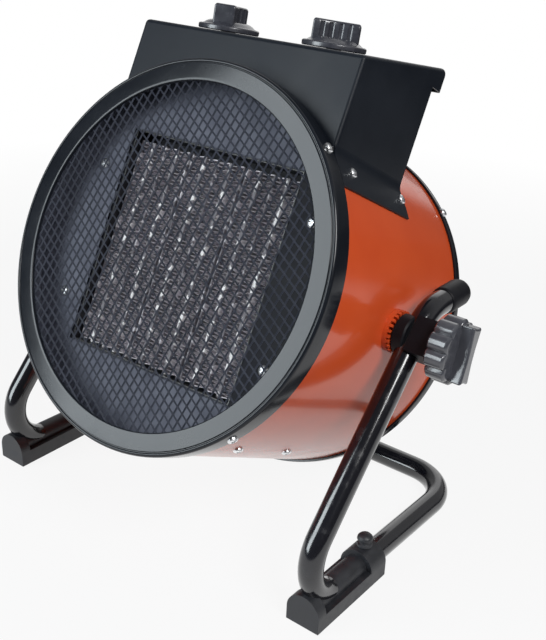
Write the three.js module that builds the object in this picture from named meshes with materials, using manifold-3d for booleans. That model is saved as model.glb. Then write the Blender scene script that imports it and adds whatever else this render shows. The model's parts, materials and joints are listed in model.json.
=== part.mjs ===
// Forced air heater: a round steel barrel that tilts in a bent tube stand.
// A ceramic heating element sits behind an expanded metal grille, a fan and its motor
// behind the element, and a folded control box with two knobs on top.
//
// Frame: millimetres, +Z up, the front faces -Y, and X = 0 is the plane of symmetry.
// The origin is on the ground, at the middle of the heater's outline.
// The barrel's own frame has its origin on the tilt axis, with Y along the barrel.

import * as THREE from 'three';
import * as BufferGeometryUtils from 'three/addons/utils/BufferGeometryUtils.js';
import Module from 'manifold-3d';

const wasm = await Module();
wasm.setup();

// ---------------------------------------------------------------- driving dimensions

const CLEARANCE = 0.3; // between pieces that touch
const OVERRUN = 5; // of a cutting solid past the faces it cuts

// Tilt of the barrel and the height of its pivots
const TILT = THREE.MathUtils.degToRad(27);
const PIVOT_HEIGHT = 160;

// Barrel
const BARREL_SEGMENTS = 40;
const SHELL_RADIUS = 124;
const SHELL_WALL = 1.2;
const BARREL_FRONT = -92; // front face of the front ring
const BARREL_REAR = 88; // rear face of the rear ring
const RING_SHEET = 1.5;
const RING_FACE = 13; // from the shell in to the opening
const RING_OPENING_RADIUS = SHELL_RADIUS - RING_FACE;
const FRONT_RING_DEPTH = 15;
const REAR_RING_DEPTH = 8;
const RING_CORNER = 2.5;
const WIRING_HOLE_RADIUS = 14;
const WIRING_HOLE_Y = -54;

// Expanded metal grilles
const GRILLE_THICKNESS = 1.2;
const GRILLE_RIM = 11; // hidden behind the rings' faces
const FRONT_DIAMOND = new THREE.Vector2(31, 28); // width and height of one diamond
const REAR_DIAMOND = new THREE.Vector2(56, 48);
const STRAND_WIDTH = 2.2;

// Heating element and the plate round it
const BAFFLE_FRONT = -72;
const BAFFLE_SHEET = 1.2;
const BAFFLE_OPENING = new THREE.Vector2(142, 148);
const ELEMENT_RECESS = 7; // from the plate's front to the fins
const ELEMENT_SIZE = new THREE.Vector2(138, 146);
const ELEMENT_DEPTH = 20;
const ELEMENT_MODULES = 3;
const COLUMNS_PER_MODULE = 4;
const HEATER_BAR = 2.2; // thickness of one flat heater bar
const FIN_SHEET = 0.9;
const FIN_WAVES = 3; // waves of fin in one column
const ELEMENT_FRAME_WALL = 5;
const BODY_SCREW_ANGLE = THREE.MathUtils.degToRad(55); // brackets' tabs, from the X axis
const TAB_WIDTH = 18;
const BAFFLE_TAB_LENGTH = 36;

// Thermal cut-out on the plate
const CUTOUT_RADIUS = 8;
const CUTOUT_HEIGHT = 9;
const CUTOUT_LUG = new THREE.Vector3(28, 1.2, 8);
const CUTOUT_TAB = new THREE.Vector3(4, 9, 0.8);

// Fan, motor and bracket
const BRACKET_Y = 21;
const BRACKET_SHEET = 2;
const BRACKET_TAB_LENGTH = 16;
const BRACKET_HUB_RADIUS = 34;
const FAN_RADIUS = 102;
const FAN_BLADES = 5;
const FAN_HUB_RADIUS = 17;
const FAN_HUB_LENGTH = 20;
const FAN_HUB_CHAMFER = 4;
const BLADE_THICKNESS = 1.6;
const BLADE_SECTIONS = 3; // from root to tip
const BLADE_STATIONS = 3; // from edge to edge
const BLADE_ROOT_PITCH = THREE.MathUtils.degToRad(42);
const BLADE_TIP_PITCH = THREE.MathUtils.degToRad(22);
const BLADE_ROOT_CHORD = 30;
const BLADE_TIP_CHORD = 62;
const BLADE_CAMBER = 0.06; // of the chord
const FAN_TO_BRACKET = 9;
const MOTOR_RADIUS = 32;
const MOTOR_LENGTH = 48;
const MOTOR_SIDES = 16;
const MOTOR_SHOULDER = 5;
const MOTOR_BOSS_RADIUS = 11;
const BEARING_DEPTH = 20;
const SHAFT_RADIUS = 4;
const RUNNING_CLEARANCE = 0.4;

// Control box
const BOX_HALF_WIDTH = 89.4;
const BOX_SHEET = 1.2;
const BOX_FRONT = -76.5;
const BOX_REAR = 11;
const BOX_RISE = 23; // of the top plate's front edge over the shell
const BOX_FRONT_TOP = SHELL_RADIUS + BOX_RISE;
const BOX_SLOPE = THREE.MathUtils.degToRad(15.15);
const LIP_REACH = 13; // overhang of the grip lip behind the box
const LIP_HEIGHT = 16.5;
const BOX_FOLD = 4;
const LIP_FOLD = 6;
const FLANGE_ANGLE = THREE.MathUtils.degToRad(34.5); // lower edge of the side flanges
const BACK_PANEL_INSET = 2;
const GLAND_INSET = 37.4; // from the side of the box
const GLAND_DROP = 6; // below the top plate's front edge
const GLAND_PLACE = new THREE.Vector2(GLAND_INSET - BOX_HALF_WIDTH, BOX_FRONT_TOP - GLAND_DROP);
const GLAND_RADIUS = 8;
const GLAND_BORE = 4;
const GLAND_COLLAR = new THREE.Vector2(12, 5); // radius and thickness
const GLAND_LENGTH = 9; // outside the panel
const TERMINAL_BLOCK = new THREE.Vector3(34, 18, 14);
const TERMINAL_BLOCK_Y = -22;

// Controls on the sloping top
const KNOB_SPACING = 43.6; // from the middle
const KNOB_Y = -44;
const KNOB_SKIRT_RADIUS = 20.5;
const KNOB_SKIRT_HEIGHT = 6;
const KNOB_HEIGHT = 17.5;
const KNOB_RIM_HEIGHT = 2.6;
const KNOB_GRIP_LENGTH = 30;
const KNOB_GRIP_WIDTH = 15;
const KNOB_GRIP_WAIST = 2.5; // hollow of each long face
const KNOB_CORNER = 2;
const KNOB_GAP = 0.6; // over the top plate
const THERMOSTAT_TURN = THREE.MathUtils.degToRad(112); // of each bar grip, from the X axis
const SELECTOR_TURN = THREE.MathUtils.degToRad(32);
const SPINDLE_RADIUS = 3;
const SPINDLE_REACH = 11;
const BUSH_RADIUS = 5;
const BUSH_LENGTH = 2; // above the top plate
const THERMOSTAT_SIZE = new THREE.Vector3(36, 34, 24);
const SELECTOR_SIZE = new THREE.Vector3(32, 31, 22);
const TERMINAL_BLADE = new THREE.Vector3(5, 0.9, 8);

// Stand
const TUBE_RADIUS = 8;
const TUBE_WALL = 1.5;
const LEG_CLEARANCE = 15; // from the shell to the middle of each leg
const LEG_X = SHELL_RADIUS + LEG_CLEARANCE;
const LEG_ANGLE = THREE.MathUtils.degToRad(48); // above the ground
const STUB_RISE = 14; // of the level upper ends above the pivots
const STUB_REAR = 53;
const CROSSBAR_Y = 84;
const FOOT_TUBE_HEIGHT = 12.4;
const BEND_TOP = 30;
const BEND_FOOT = 29;
const BEND_REAR = 34;
const BEND_STEPS = 4; // per right angle
const TUBE_CAP_LENGTH = 25;
const TUBE_CAP_WALL = 1;
const TUBE_CAP_END = 4;
const TUBE_CAP_CHAMFER = 3;

// Feet
const FOOT_WIDTH = 24.4;
const FOOT_HEIGHT = 22.6;
const FOOT_FRONT = -104;
const FOOT_LENGTH = 75;
const FOOT_END_WALL = 8;
const FOOT_SLEEVE = 17;
const FOOT_WALL_HEIGHT = 11;
const PEG_RADIUS = 3.4;
const PEG_CAP_RADIUS = 5.2;
const PEG_CAP_HEIGHT = 4;
const PEG_COLLAR = 2;
const PEG_HEIGHT = 9;

// Tilt clamps
const DISC_RADIUS = 14;
const DISC_HEIGHT = 5.2; // from the shell to the crown's tips
const DISC_FACE = SHELL_RADIUS + DISC_HEIGHT;
const DISC_TEETH = 10;
const TOOTH_HEIGHT = 2.4;
const TOOTH_NOTCH = 3;
const PAD_RADIUS = 13;
const SADDLE_REACH = 18; // from the middle of the leg
const SADDLE_FACE = LEG_X + SADDLE_REACH;
const SADDLE_WIDTH = 20;
const SADDLE_LENGTH = 24;
const BOLT_RADIUS = 4;
const BOLT_HEAD_RADIUS = 8;
const BOLT_HEAD_HEIGHT = 4;
const BOLT_REACH = 12; // of the bolt into the knob
const CLAMP_BASE_RADIUS = 21;
const CLAMP_BASE_HEIGHT = 13.5;
const CLAMP_LOBES = 10;
const CLAMP_NOTCH = 2.2;
const CLAMP_GRIP_LENGTH = 36;
const CLAMP_GRIP_WIDTH = 11;
const CLAMP_GRIP_HEIGHT = 8;
const CLAMP_GRIP_WAIST = 1.4; // hollow of each long face
const CLAMP_GRIP_END = 1; // bow of each end
const CLAMP_TURN = THREE.MathUtils.degToRad(-10); // of each grip, back from the barrel's upright

// ---------------------------------------------------------------- materials

function finish(color, roughness, metalness) {
  return new THREE.MeshStandardMaterial({ color, roughness, metalness });
}

const ORANGE_ENAMEL = () => finish(0xd9501f, 0.28, 0.1);
const BLACK_POWDER = () => finish(0x23262b, 0.45, 0.2);
const BLACK_GLOSS = () => finish(0x101114, 0.22, 0.1);
const BLACK_PLASTIC = () => finish(0x1b1c1f, 0.5, 0);
const DARK_RUBBER = () => finish(0x2a2b2e, 0.75, 0);
const DARK_STEEL = () => finish(0x4b4d55, 0.5, 0.7);
const FIN_ALUMINIUM = () => finish(0xb9bac0, 0.45, 0.9);
const ZINC = () => finish(0xc9cacc, 0.35, 0.9);
const PALE_PLASTIC = () => finish(0xd8d4c8, 0.6, 0);

// ---------------------------------------------------------------- geometry helpers

/** One closed mesh with shared vertices, its empty triangles dropped and its faces out. */
function closed(geometry) {
  const bare = new THREE.BufferGeometry();
  bare.setAttribute('position', geometry.getAttribute('position').clone());
  bare.setIndex(geometry.getIndex());
  const merged = BufferGeometryUtils.mergeVertices(bare, 1e-4);
  const index = merged.getIndex();
  const kept = [];
  for (let i = 0; i < index.count; i += 3) {
    const corners = [index.getX(i), index.getX(i + 1), index.getX(i + 2)];
    if (new Set(corners).size === 3) kept.push(...corners);
  }
  merged.setIndex(kept);
  return volumeOf(merged) < 0 ? flipped(merged) : merged;
}

function volumeOf(geometry) {
  const index = geometry.getIndex();
  const position = geometry.getAttribute('position');
  const [a, b, c] = [new THREE.Vector3(), new THREE.Vector3(), new THREE.Vector3()];
  let volume = 0;
  for (let i = 0; i < index.count; i += 3) {
    a.fromBufferAttribute(position, index.getX(i));
    b.fromBufferAttribute(position, index.getX(i + 1));
    c.fromBufferAttribute(position, index.getX(i + 2));
    volume += a.dot(b.cross(c)) / 6;
  }
  return volume;
}

function flipped(geometry) {
  const corners = Array.from(geometry.getIndex().array);
  for (let i = 0; i < corners.length; i += 3) {
    [corners[i], corners[i + 1]] = [corners[i + 1], corners[i]];
  }
  geometry.setIndex(corners);
  return geometry;
}

function mirrored(geometry) {
  return closed(geometry.clone().scale(-1, 1, 1));
}

/** A solid for joining and cutting. */
function solid(geometry) {
  const mesh = closed(geometry);
  return new wasm.Manifold(new wasm.Mesh({
    numProp: 3,
    vertProperties: new Float32Array(mesh.getAttribute('position').array),
    triVerts: new Uint32Array(mesh.getIndex().array),
  }));
}

function geometryOf(manifold) {
  const mesh = manifold.getMesh();
  const geometry = new THREE.BufferGeometry();
  geometry.setAttribute('position', new THREE.BufferAttribute(mesh.vertProperties, mesh.numProp));
  geometry.setIndex(Array.from(mesh.triVerts));
  return geometry;
}

function joined(first, ...others) {
  return geometryOf(others.reduce((sum, next) => sum.add(solid(next)), solid(first)));
}

function cut(first, ...others) {
  return geometryOf(others.reduce((rest, next) => rest.subtract(solid(next)), solid(first)));
}

function common(first, second) {
  return geometryOf(solid(first).intersect(solid(second)));
}

/** A profile of [radius, y] pairs turned about the Y axis. */
function turned(profile, segments = BARREL_SEGMENTS) {
  const points = profile.map(([radius, y]) => new THREE.Vector2(radius, y));
  return closed(new THREE.LatheGeometry(points, segments));
}

/** A ring or a tube: a closed profile, so its last point is its first. */
function turnedRing(profile, segments = BARREL_SEGMENTS) {
  return turned([...profile, profile[0]], segments);
}

/** A shape drawn in X and Z, from one Y to another. */
function alongY(shape, from, to, curveSegments = 12) {
  const options = { depth: to - from, bevelEnabled: false, curveSegments };
  return closed(new THREE.ExtrudeGeometry(shape, options).rotateX(Math.PI / 2).translate(0, to, 0));
}

/** A shape drawn in Y and Z, from one X to another. */
function alongX(shape, from, to, curveSegments = 12) {
  const options = { depth: to - from, bevelEnabled: false, curveSegments };
  const geometry = new THREE.ExtrudeGeometry(shape, options);
  return closed(geometry.rotateX(Math.PI / 2).rotateZ(Math.PI / 2).translate(from, 0, 0));
}

/** A shape drawn in X and Y, from one Z to another. */
function alongZ(shape, from, to, curveSegments = 12) {
  const options = { depth: to - from, bevelEnabled: false, curveSegments };
  return closed(new THREE.ExtrudeGeometry(shape, options).translate(0, 0, from));
}

function polygon(points) {
  return new THREE.Shape(points.map(([x, y]) => new THREE.Vector2(x, y)));
}

function rectangle(width, height, x = 0, y = 0) {
  const [w, h] = [width / 2, height / 2];
  return polygon([[x - w, y - h], [x + w, y - h], [x + w, y + h], [x - w, y + h]]);
}

function circle(radius, x = 0, y = 0) {
  return new THREE.Shape().absarc(x, y, radius, 0, 2 * Math.PI);
}

/** A polygon whose corners are rounded, each [x, y, radius]. */
function roundedPolygon(corners) {
  const shape = new THREE.Shape();
  corners.forEach(([x, y, radius = 0], i) => {
    const corner = new THREE.Vector2(x, y);
    const [px, py] = corners[(i + corners.length - 1) % corners.length];
    const [nx, ny] = corners[(i + 1) % corners.length];
    const before = corner.clone().add(new THREE.Vector2(px - x, py - y).setLength(radius));
    const after = corner.clone().add(new THREE.Vector2(nx - x, ny - y).setLength(radius));
    if (i === 0) shape.moveTo(before.x, before.y);
    else shape.lineTo(before.x, before.y);
    if (radius > 0) shape.quadraticCurveTo(x, y, after.x, after.y);
  });
  return shape;
}

/** A round bar along X, for bores and bolts. */
function barAlongX(radius, from, to, segments = 12) {
  const bar = new THREE.CylinderGeometry(radius, radius, to - from, segments);
  return closed(bar.rotateZ(Math.PI / 2).translate((from + to) / 2, 0, 0));
}

function barAlongZ(radius, from, to, segments = 12) {
  const bar = new THREE.CylinderGeometry(radius, radius, to - from, segments);
  return closed(bar.rotateX(Math.PI / 2).translate(0, 0, (from + to) / 2));
}

function barAlongY(radius, from, to, segments = 12) {
  const bar = new THREE.CylinderGeometry(radius, radius, to - from, segments);
  return closed(bar.translate(0, (from + to) / 2, 0));
}

/** A bent tube's centre line: straights between corners that are rounded by arcs. */
class BentLine extends THREE.Curve {
  constructor(corners, radii, stepsPerBend) {
    super();
    this.stations = [{ point: corners[0], tangent: directionBetween(corners[0], corners[1]) }];
    for (let i = 1; i < corners.length - 1; i += 1) {
      this.stations.push(...bendStations(corners, i, radii[i - 1], stepsPerBend));
    }
    const [last, end] = corners.slice(-2);
    this.stations.push({ point: end, tangent: directionBetween(last, end) });
  }

  get steps() {
    return this.stations.length - 1;
  }

  getPointAt(u, target = new THREE.Vector3()) {
    return target.copy(this.stations[Math.round(u * this.steps)].point);
  }

  getPoint(t, target) {
    return this.getPointAt(t, target);
  }

  getTangentAt(u, target = new THREE.Vector3()) {
    return target.copy(this.stations[Math.round(u * this.steps)].tangent);
  }
}

function directionBetween(from, to) {
  return to.clone().sub(from).normalize();
}

function bendStations(corners, i, radius, stepsPerBend) {
  const arriving = directionBetween(corners[i - 1], corners[i]);
  const leaving = directionBetween(corners[i], corners[i + 1]);
  const turn = arriving.angleTo(leaving);
  const setback = radius * Math.tan(turn / 2);
  const start = corners[i].clone().addScaledVector(arriving, -setback);
  const inward = leaving.clone().addScaledVector(arriving, -Math.cos(turn)).normalize();
  const centre = start.clone().addScaledVector(inward, radius);
  const steps = Math.ceil(stepsPerBend * turn / (Math.PI / 2));
  const stations = [];
  for (let step = 0; step <= steps; step += 1) {
    const angle = turn * step / steps;
    const point = centre.clone()
      .addScaledVector(inward, -radius * Math.cos(angle))
      .addScaledVector(arriving, radius * Math.sin(angle));
    const tangent = arriving.clone().multiplyScalar(Math.cos(angle)).addScaledVector(inward, Math.sin(angle));
    stations.push({ point, tangent });
  }
  return stations;
}

function sweptAlong(line, shape, curveSegments) {
  const options = { steps: line.steps, bevelEnabled: false, extrudePath: line, curveSegments };
  return closed(new THREE.ExtrudeGeometry(shape, options));
}

function part(parent, name, geometry, material) {
  const mesh = new THREE.Mesh(closed(geometry), material);
  mesh.name = name;
  parent.add(mesh);
  return mesh;
}

const SIDES = [['right', 1], ['left', -1]];

/** The right hand piece, and its mirror image on the left. */
function pair(parent, name, geometry, material) {
  for (const [side, sign] of SIDES) {
    part(parent, `${name}_${side}`, sign > 0 ? geometry : mirrored(geometry), material());
  }
}

// ---------------------------------------------------------------- barrel

const GRILLE_SEAT = RING_SHEET + CLEARANCE; // from a ring's face to its grille
const SHELL_FRONT = BARREL_FRONT + GRILLE_SEAT + GRILLE_THICKNESS + CLEARANCE;
const SHELL_REAR = BARREL_REAR - GRILLE_SEAT - GRILLE_THICKNESS - CLEARANCE;
const SHELL_BORE = SHELL_RADIUS - SHELL_WALL;
const SHELL_BORE_FLAT = SHELL_BORE * Math.cos(Math.PI / BARREL_SEGMENTS); // to the bore's flats
const RING_RADIUS = SHELL_RADIUS + CLEARANCE + RING_SHEET;

function bodyShell() {
  const tube = turnedRing([
    [SHELL_BORE, SHELL_FRONT],
    [SHELL_RADIUS, SHELL_FRONT],
    [SHELL_RADIUS, SHELL_REAR],
    [SHELL_BORE, SHELL_REAR],
  ]);
  const boltHoles = barAlongX(BOLT_RADIUS + CLEARANCE, -SHELL_RADIUS - OVERRUN, SHELL_RADIUS + OVERRUN);
  const wiringHole = barAlongZ(WIRING_HOLE_RADIUS, SHELL_RADIUS / 2, SHELL_RADIUS + OVERRUN);
  return cut(tube, boltHoles, wiringHole.translate(0, WIRING_HOLE_Y, 0));
}

/** A pressed channel: a flat face with a rounded outer corner and a band over the shell. */
function channelRing(depth) {
  const corner = RING_CORNER;
  return turnedRing([
    [RING_OPENING_RADIUS, RING_SHEET],
    [RING_OPENING_RADIUS + RING_SHEET / 2, 0],
    [RING_RADIUS - corner, 0],
    [RING_RADIUS - corner * 0.3, corner * 0.3],
    [RING_RADIUS, corner],
    [RING_RADIUS, depth],
    [RING_RADIUS - RING_SHEET, depth],
    [RING_RADIUS - RING_SHEET, RING_SHEET],
  ]);
}

/** A flattened expanded metal sheet: two sets of crossing strands, cut round, with a rim. */
function expandedGrille(diamond) {
  const radius = SHELL_RADIUS - CLEARANCE;
  const half = GRILLE_THICKNESS / 2;
  const disc = barAlongY(radius - GRILLE_RIM / 2, -half, half, BARREL_SEGMENTS);
  const rim = turnedRing([
    [radius - GRILLE_RIM, -half],
    [radius, -half],
    [radius, half],
    [radius - GRILLE_RIM, half],
  ]);
  const [first, ...others] = strands(diamond, radius);
  return joined(common(joined(first, ...others), disc), rim);
}

/** Flat strips, as far apart as the sides of one diamond, in both of its directions. */
function strands(diamond, reach) {
  const lean = Math.atan2(diamond.y, diamond.x);
  const pitch = diamond.x * Math.sin(lean);
  const count = Math.ceil(reach / pitch);
  const strips = [];
  for (let i = -count; i < count; i += 1) {
    for (const side of [1, -1]) {
      const strip = new THREE.BoxGeometry(2 * reach, GRILLE_THICKNESS, STRAND_WIDTH);
      strips.push(strip.translate(0, 0, (i + 0.5) * pitch).rotateY(side * lean));
    }
  }
  return strips;
}

function buildBarrel(heater) {
  part(heater, 'body_shell', bodyShell(), ORANGE_ENAMEL());
  const frontRing = channelRing(FRONT_RING_DEPTH).translate(0, BARREL_FRONT, 0);
  part(heater, 'front_ring', frontRing, BLACK_POWDER());
  const rearRing = channelRing(REAR_RING_DEPTH).rotateX(Math.PI).translate(0, BARREL_REAR, 0);
  part(heater, 'rear_ring', rearRing, BLACK_POWDER());
  const inset = GRILLE_SEAT + GRILLE_THICKNESS / 2;
  const frontGrille = expandedGrille(FRONT_DIAMOND);
  part(heater, 'front_grille', frontGrille.translate(0, BARREL_FRONT + inset, 0), DARK_STEEL());
  const rearGrille = expandedGrille(REAR_DIAMOND);
  part(heater, 'rear_grille', rearGrille.translate(0, BARREL_REAR - inset, 0), DARK_STEEL());
}

// ---------------------------------------------------------------- heating element

const ELEMENT_FRONT = BAFFLE_FRONT + ELEMENT_RECESS;
const ELEMENT_REAR = ELEMENT_FRONT + ELEMENT_DEPTH;
const FRAME_FRONT = BAFFLE_FRONT + BAFFLE_SHEET + CLEARANCE;
const BAFFLE_RADIUS = SHELL_BORE - CLEARANCE;
const TAB_ANGLES = [1, -1].flatMap((z) => [z * BODY_SCREW_ANGLE, Math.PI - z * BODY_SCREW_ANGLE]);

/** A tab that lies along the shell's inside, at an angle from the X axis. */
function shellTab(angle, sheet, from, to) {
  const flat = TAB_WIDTH / 2;
  const outer = Math.sqrt(SHELL_BORE_FLAT ** 2 - flat ** 2) - CLEARANCE;
  const tab = new THREE.BoxGeometry(sheet, to - from, TAB_WIDTH);
  return tab.translate(outer - sheet / 2, (from + to) / 2, 0).rotateY(-angle);
}

function bafflePlate() {
  const disc = circle(BAFFLE_RADIUS);
  disc.holes.push(rectangle(BAFFLE_OPENING.x, BAFFLE_OPENING.y));
  const back = BAFFLE_FRONT + BAFFLE_SHEET;
  const plate = alongY(disc, BAFFLE_FRONT, back, BARREL_SEGMENTS / 2);
  const tabRear = BAFFLE_FRONT + BAFFLE_TAB_LENGTH;
  const tabs = TAB_ANGLES.map((angle) => shellTab(angle, BAFFLE_SHEET, BAFFLE_FRONT, tabRear));
  return joined(plate, ...tabs);
}

function elementFrame() {
  const inner = new THREE.Vector2().copy(ELEMENT_SIZE).addScalar(2 * CLEARANCE);
  const wall = 2 * ELEMENT_FRAME_WALL;
  const outline = rectangle(inner.x + wall, inner.y + wall);
  outline.holes.push(rectangle(inner.x, inner.y));
  return alongY(outline, FRAME_FRONT, ELEMENT_REAR);
}

/** Flat heater bars with folded fins between them. */
function elementModule(width) {
  const height = ELEMENT_SIZE.y;
  const pitch = (width - HEATER_BAR) / COLUMNS_PER_MODULE;
  const pieces = [];
  for (let i = 0; i <= COLUMNS_PER_MODULE; i += 1) {
    const x = -width / 2 + HEATER_BAR / 2 + i * pitch;
    pieces.push(alongY(rectangle(HEATER_BAR, height, x, 0), ELEMENT_FRONT, ELEMENT_REAR));
    if (i < COLUMNS_PER_MODULE) pieces.push(...foldedFin(x, x + pitch, height));
  }
  return joined(pieces[0], ...pieces.slice(1));
}

/** The slanted walls of one column's folded fin, one for each half wave. */
function foldedFin(left, right, height) {
  const folds = 2 * FIN_WAVES;
  const rise = (height - 2 * FIN_SHEET) / folds;
  const half = FIN_SHEET * Math.hypot(right - left, rise) / (right - left) / 2;
  const walls = [];
  for (let i = 0; i < folds; i += 1) {
    const start = -height / 2 + FIN_SHEET + i * rise;
    const [from, to] = i % 2 ? [start + rise, start] : [start, start + rise];
    const wall = polygon([[left, from - half], [right, to - half], [right, to + half], [left, from + half]]);
    walls.push(alongY(wall, ELEMENT_FRONT + FIN_SHEET, ELEMENT_REAR - FIN_SHEET));
  }
  return walls;
}

/** A snap disc can on a lug, with two blade tabs behind. */
function thermalCutout() {
  const back = FRAME_FRONT;
  const rear = back + CUTOUT_HEIGHT;
  const can = barAlongY(CUTOUT_RADIUS, back, rear);
  const tab = new THREE.BoxGeometry(CUTOUT_TAB.x, CUTOUT_TAB.y, CUTOUT_TAB.z);
  const tabs = [-1, 1].map((side) => tab.clone().translate(side * CUTOUT_RADIUS / 2, rear, 0));
  const lug = new THREE.BoxGeometry(CUTOUT_LUG.x, CUTOUT_LUG.y, CUTOUT_LUG.z);
  lug.translate(0, back + CUTOUT_LUG.y / 2, 0);
  const z = (BAFFLE_OPENING.y / 2 + BAFFLE_RADIUS) / 2;
  return joined(can, ...tabs, lug).translate(0, 0, z);
}

function buildElement(heater) {
  part(heater, 'baffle_plate', bafflePlate(), DARK_STEEL());
  part(heater, 'element_frame', elementFrame(), BLACK_PLASTIC());
  const gap = 2 * CLEARANCE;
  const width = (ELEMENT_SIZE.x - gap * (ELEMENT_MODULES - 1)) / ELEMENT_MODULES;
  const module = elementModule(width);
  for (let i = 0; i < ELEMENT_MODULES; i += 1) {
    const x = (i - (ELEMENT_MODULES - 1) / 2) * (width + gap);
    part(heater, `element_module_${i + 1}`, module, FIN_ALUMINIUM()).position.x = x;
  }
  part(heater, 'thermal_cutout', thermalCutout(), ZINC());
}

// ---------------------------------------------------------------- fan and motor

const FAN_HUB_REAR = BRACKET_Y - FAN_TO_BRACKET;
const FAN_HUB_FRONT = FAN_HUB_REAR - FAN_HUB_LENGTH;
const MOTOR_FRONT = BRACKET_Y + BRACKET_SHEET + CLEARANCE;

function motorBracket() {
  const rear = BRACKET_Y + BRACKET_SHEET;
  const tabFront = rear - BRACKET_TAB_LENGTH;
  const hub = barAlongY(BRACKET_HUB_RADIUS, BRACKET_Y, rear, MOTOR_SIDES);
  const flat = TAB_WIDTH / 2;
  const reach = Math.sqrt(SHELL_BORE_FLAT ** 2 - flat ** 2) - CLEARANCE;
  const arms = TAB_ANGLES.map((angle) => {
    const arm = new THREE.BoxGeometry(reach, BRACKET_SHEET, TAB_WIDTH);
    return arm.translate(reach / 2, BRACKET_Y + BRACKET_SHEET / 2, 0).rotateY(-angle);
  });
  const tabs = TAB_ANGLES.map((angle) => shellTab(angle, BRACKET_SHEET, tabFront, rear));
  const holeRadius = MOTOR_BOSS_RADIUS + CLEARANCE;
  const bossHole = barAlongY(holeRadius, BRACKET_Y - OVERRUN, rear + OVERRUN, MOTOR_SIDES);
  return cut(joined(hub, ...arms, ...tabs), bossHole);
}

function fanMotor() {
  const rear = MOTOR_FRONT + MOTOR_LENGTH;
  const bore = SHAFT_RADIUS + RUNNING_CLEARANCE;
  const boss = BRACKET_Y - CLEARANCE;
  return turnedRing([
    [bore, boss],
    [MOTOR_BOSS_RADIUS, boss],
    [MOTOR_BOSS_RADIUS, MOTOR_FRONT],
    [MOTOR_RADIUS - MOTOR_SHOULDER, MOTOR_FRONT],
    [MOTOR_RADIUS, MOTOR_FRONT + MOTOR_SHOULDER],
    [MOTOR_RADIUS, rear - MOTOR_SHOULDER],
    [MOTOR_RADIUS - MOTOR_SHOULDER, rear],
    [0, rear],
    [0, boss + BEARING_DEPTH],
    [bore, boss + BEARING_DEPTH],
  ], MOTOR_SIDES);
}

/** One blade: thin sections that turn flatter and wider from hub to tip. */
function fanBlade() {
  const rings = [];
  for (let i = 0; i < BLADE_SECTIONS; i += 1) {
    const along = i / (BLADE_SECTIONS - 1);
    const radius = THREE.MathUtils.lerp(FAN_HUB_RADIUS - 2, FAN_RADIUS, along);
    const pitch = THREE.MathUtils.lerp(BLADE_ROOT_PITCH, BLADE_TIP_PITCH, along);
    const chord = THREE.MathUtils.lerp(BLADE_ROOT_CHORD, BLADE_TIP_CHORD, along);
    rings.push(bladeSection(radius, pitch, chord));
  }
  const points = rings.flat();
  const around = 2 * BLADE_STATIONS;
  const index = [];
  for (let i = 0; i < BLADE_SECTIONS - 1; i += 1) {
    for (let j = 0; j < around; j += 1) {
      const [a, b] = [i * around + j, i * around + (j + 1) % around];
      index.push(a, b, b + around, a, b + around, a + around);
    }
  }
  for (let j = 1; j < around - 1; j += 1) {
    const tip = (BLADE_SECTIONS - 1) * around;
    index.push(0, j + 1, j, tip, tip + j, tip + j + 1);
  }
  const geometry = new THREE.BufferGeometry().setFromPoints(points);
  geometry.setIndex(index);
  return closed(geometry);
}

function bladeSection(radius, pitch, chord) {
  const lower = [];
  const upper = [];
  for (let j = 0; j < BLADE_STATIONS; j += 1) {
    const t = 2 * j / (BLADE_STATIONS - 1) - 1;
    const bow = BLADE_CAMBER * chord * (1 - t * t);
    for (const [list, lift] of [[lower, -0.5], [upper, 0.5]]) {
      const across = t * chord / 2;
      const height = bow + lift * BLADE_THICKNESS;
      const sweep = across * Math.cos(pitch) - height * Math.sin(pitch);
      const depth = across * Math.sin(pitch) + height * Math.cos(pitch);
      const angle = sweep / radius;
      list.push(new THREE.Vector3(radius * Math.cos(angle), depth, radius * Math.sin(angle)));
    }
  }
  return [...lower, ...upper.reverse()];
}

function fanWheel() {
  const middle = (FAN_HUB_FRONT + FAN_HUB_REAR) / 2;
  const hub = turned([
    [0, FAN_HUB_FRONT],
    [FAN_HUB_RADIUS - FAN_HUB_CHAMFER, FAN_HUB_FRONT],
    [FAN_HUB_RADIUS, FAN_HUB_FRONT + FAN_HUB_CHAMFER],
    [FAN_HUB_RADIUS, FAN_HUB_REAR],
    [0, FAN_HUB_REAR],
  ], 20);
  const blade = fanBlade().translate(0, middle, 0);
  const blades = [];
  for (let i = 0; i < FAN_BLADES; i += 1) {
    blades.push(blade.clone().rotateY(2 * Math.PI * i / FAN_BLADES));
  }
  const bore = barAlongY(SHAFT_RADIUS + CLEARANCE, FAN_HUB_FRONT - OVERRUN, FAN_HUB_REAR + OVERRUN);
  return cut(joined(hub, ...blades), bore);
}

function buildFan(heater) {
  part(heater, 'motor_bracket', motorBracket(), ZINC());
  part(heater, 'fan_motor', fanMotor(), DARK_STEEL());
  const shaftRear = BRACKET_Y + BEARING_DEPTH - 2 * RUNNING_CLEARANCE - CLEARANCE;
  const shaft = barAlongY(SHAFT_RADIUS, FAN_HUB_FRONT - SHAFT_RADIUS, shaftRear);
  part(heater, 'motor_shaft', shaft, ZINC());
  part(heater, 'fan_wheel', fanWheel(), FIN_ALUMINIUM());
}

// ---------------------------------------------------------------- control box

const BOX_DEPTH = BOX_REAR - BOX_FRONT;
const LIP_REAR = BOX_REAR + LIP_REACH;
const BARREL_CLEAR = SHELL_RADIUS + CLEARANCE;

function topHeight(y) {
  return BOX_FRONT_TOP + (y - BOX_FRONT) * Math.tan(BOX_SLOPE);
}

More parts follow.
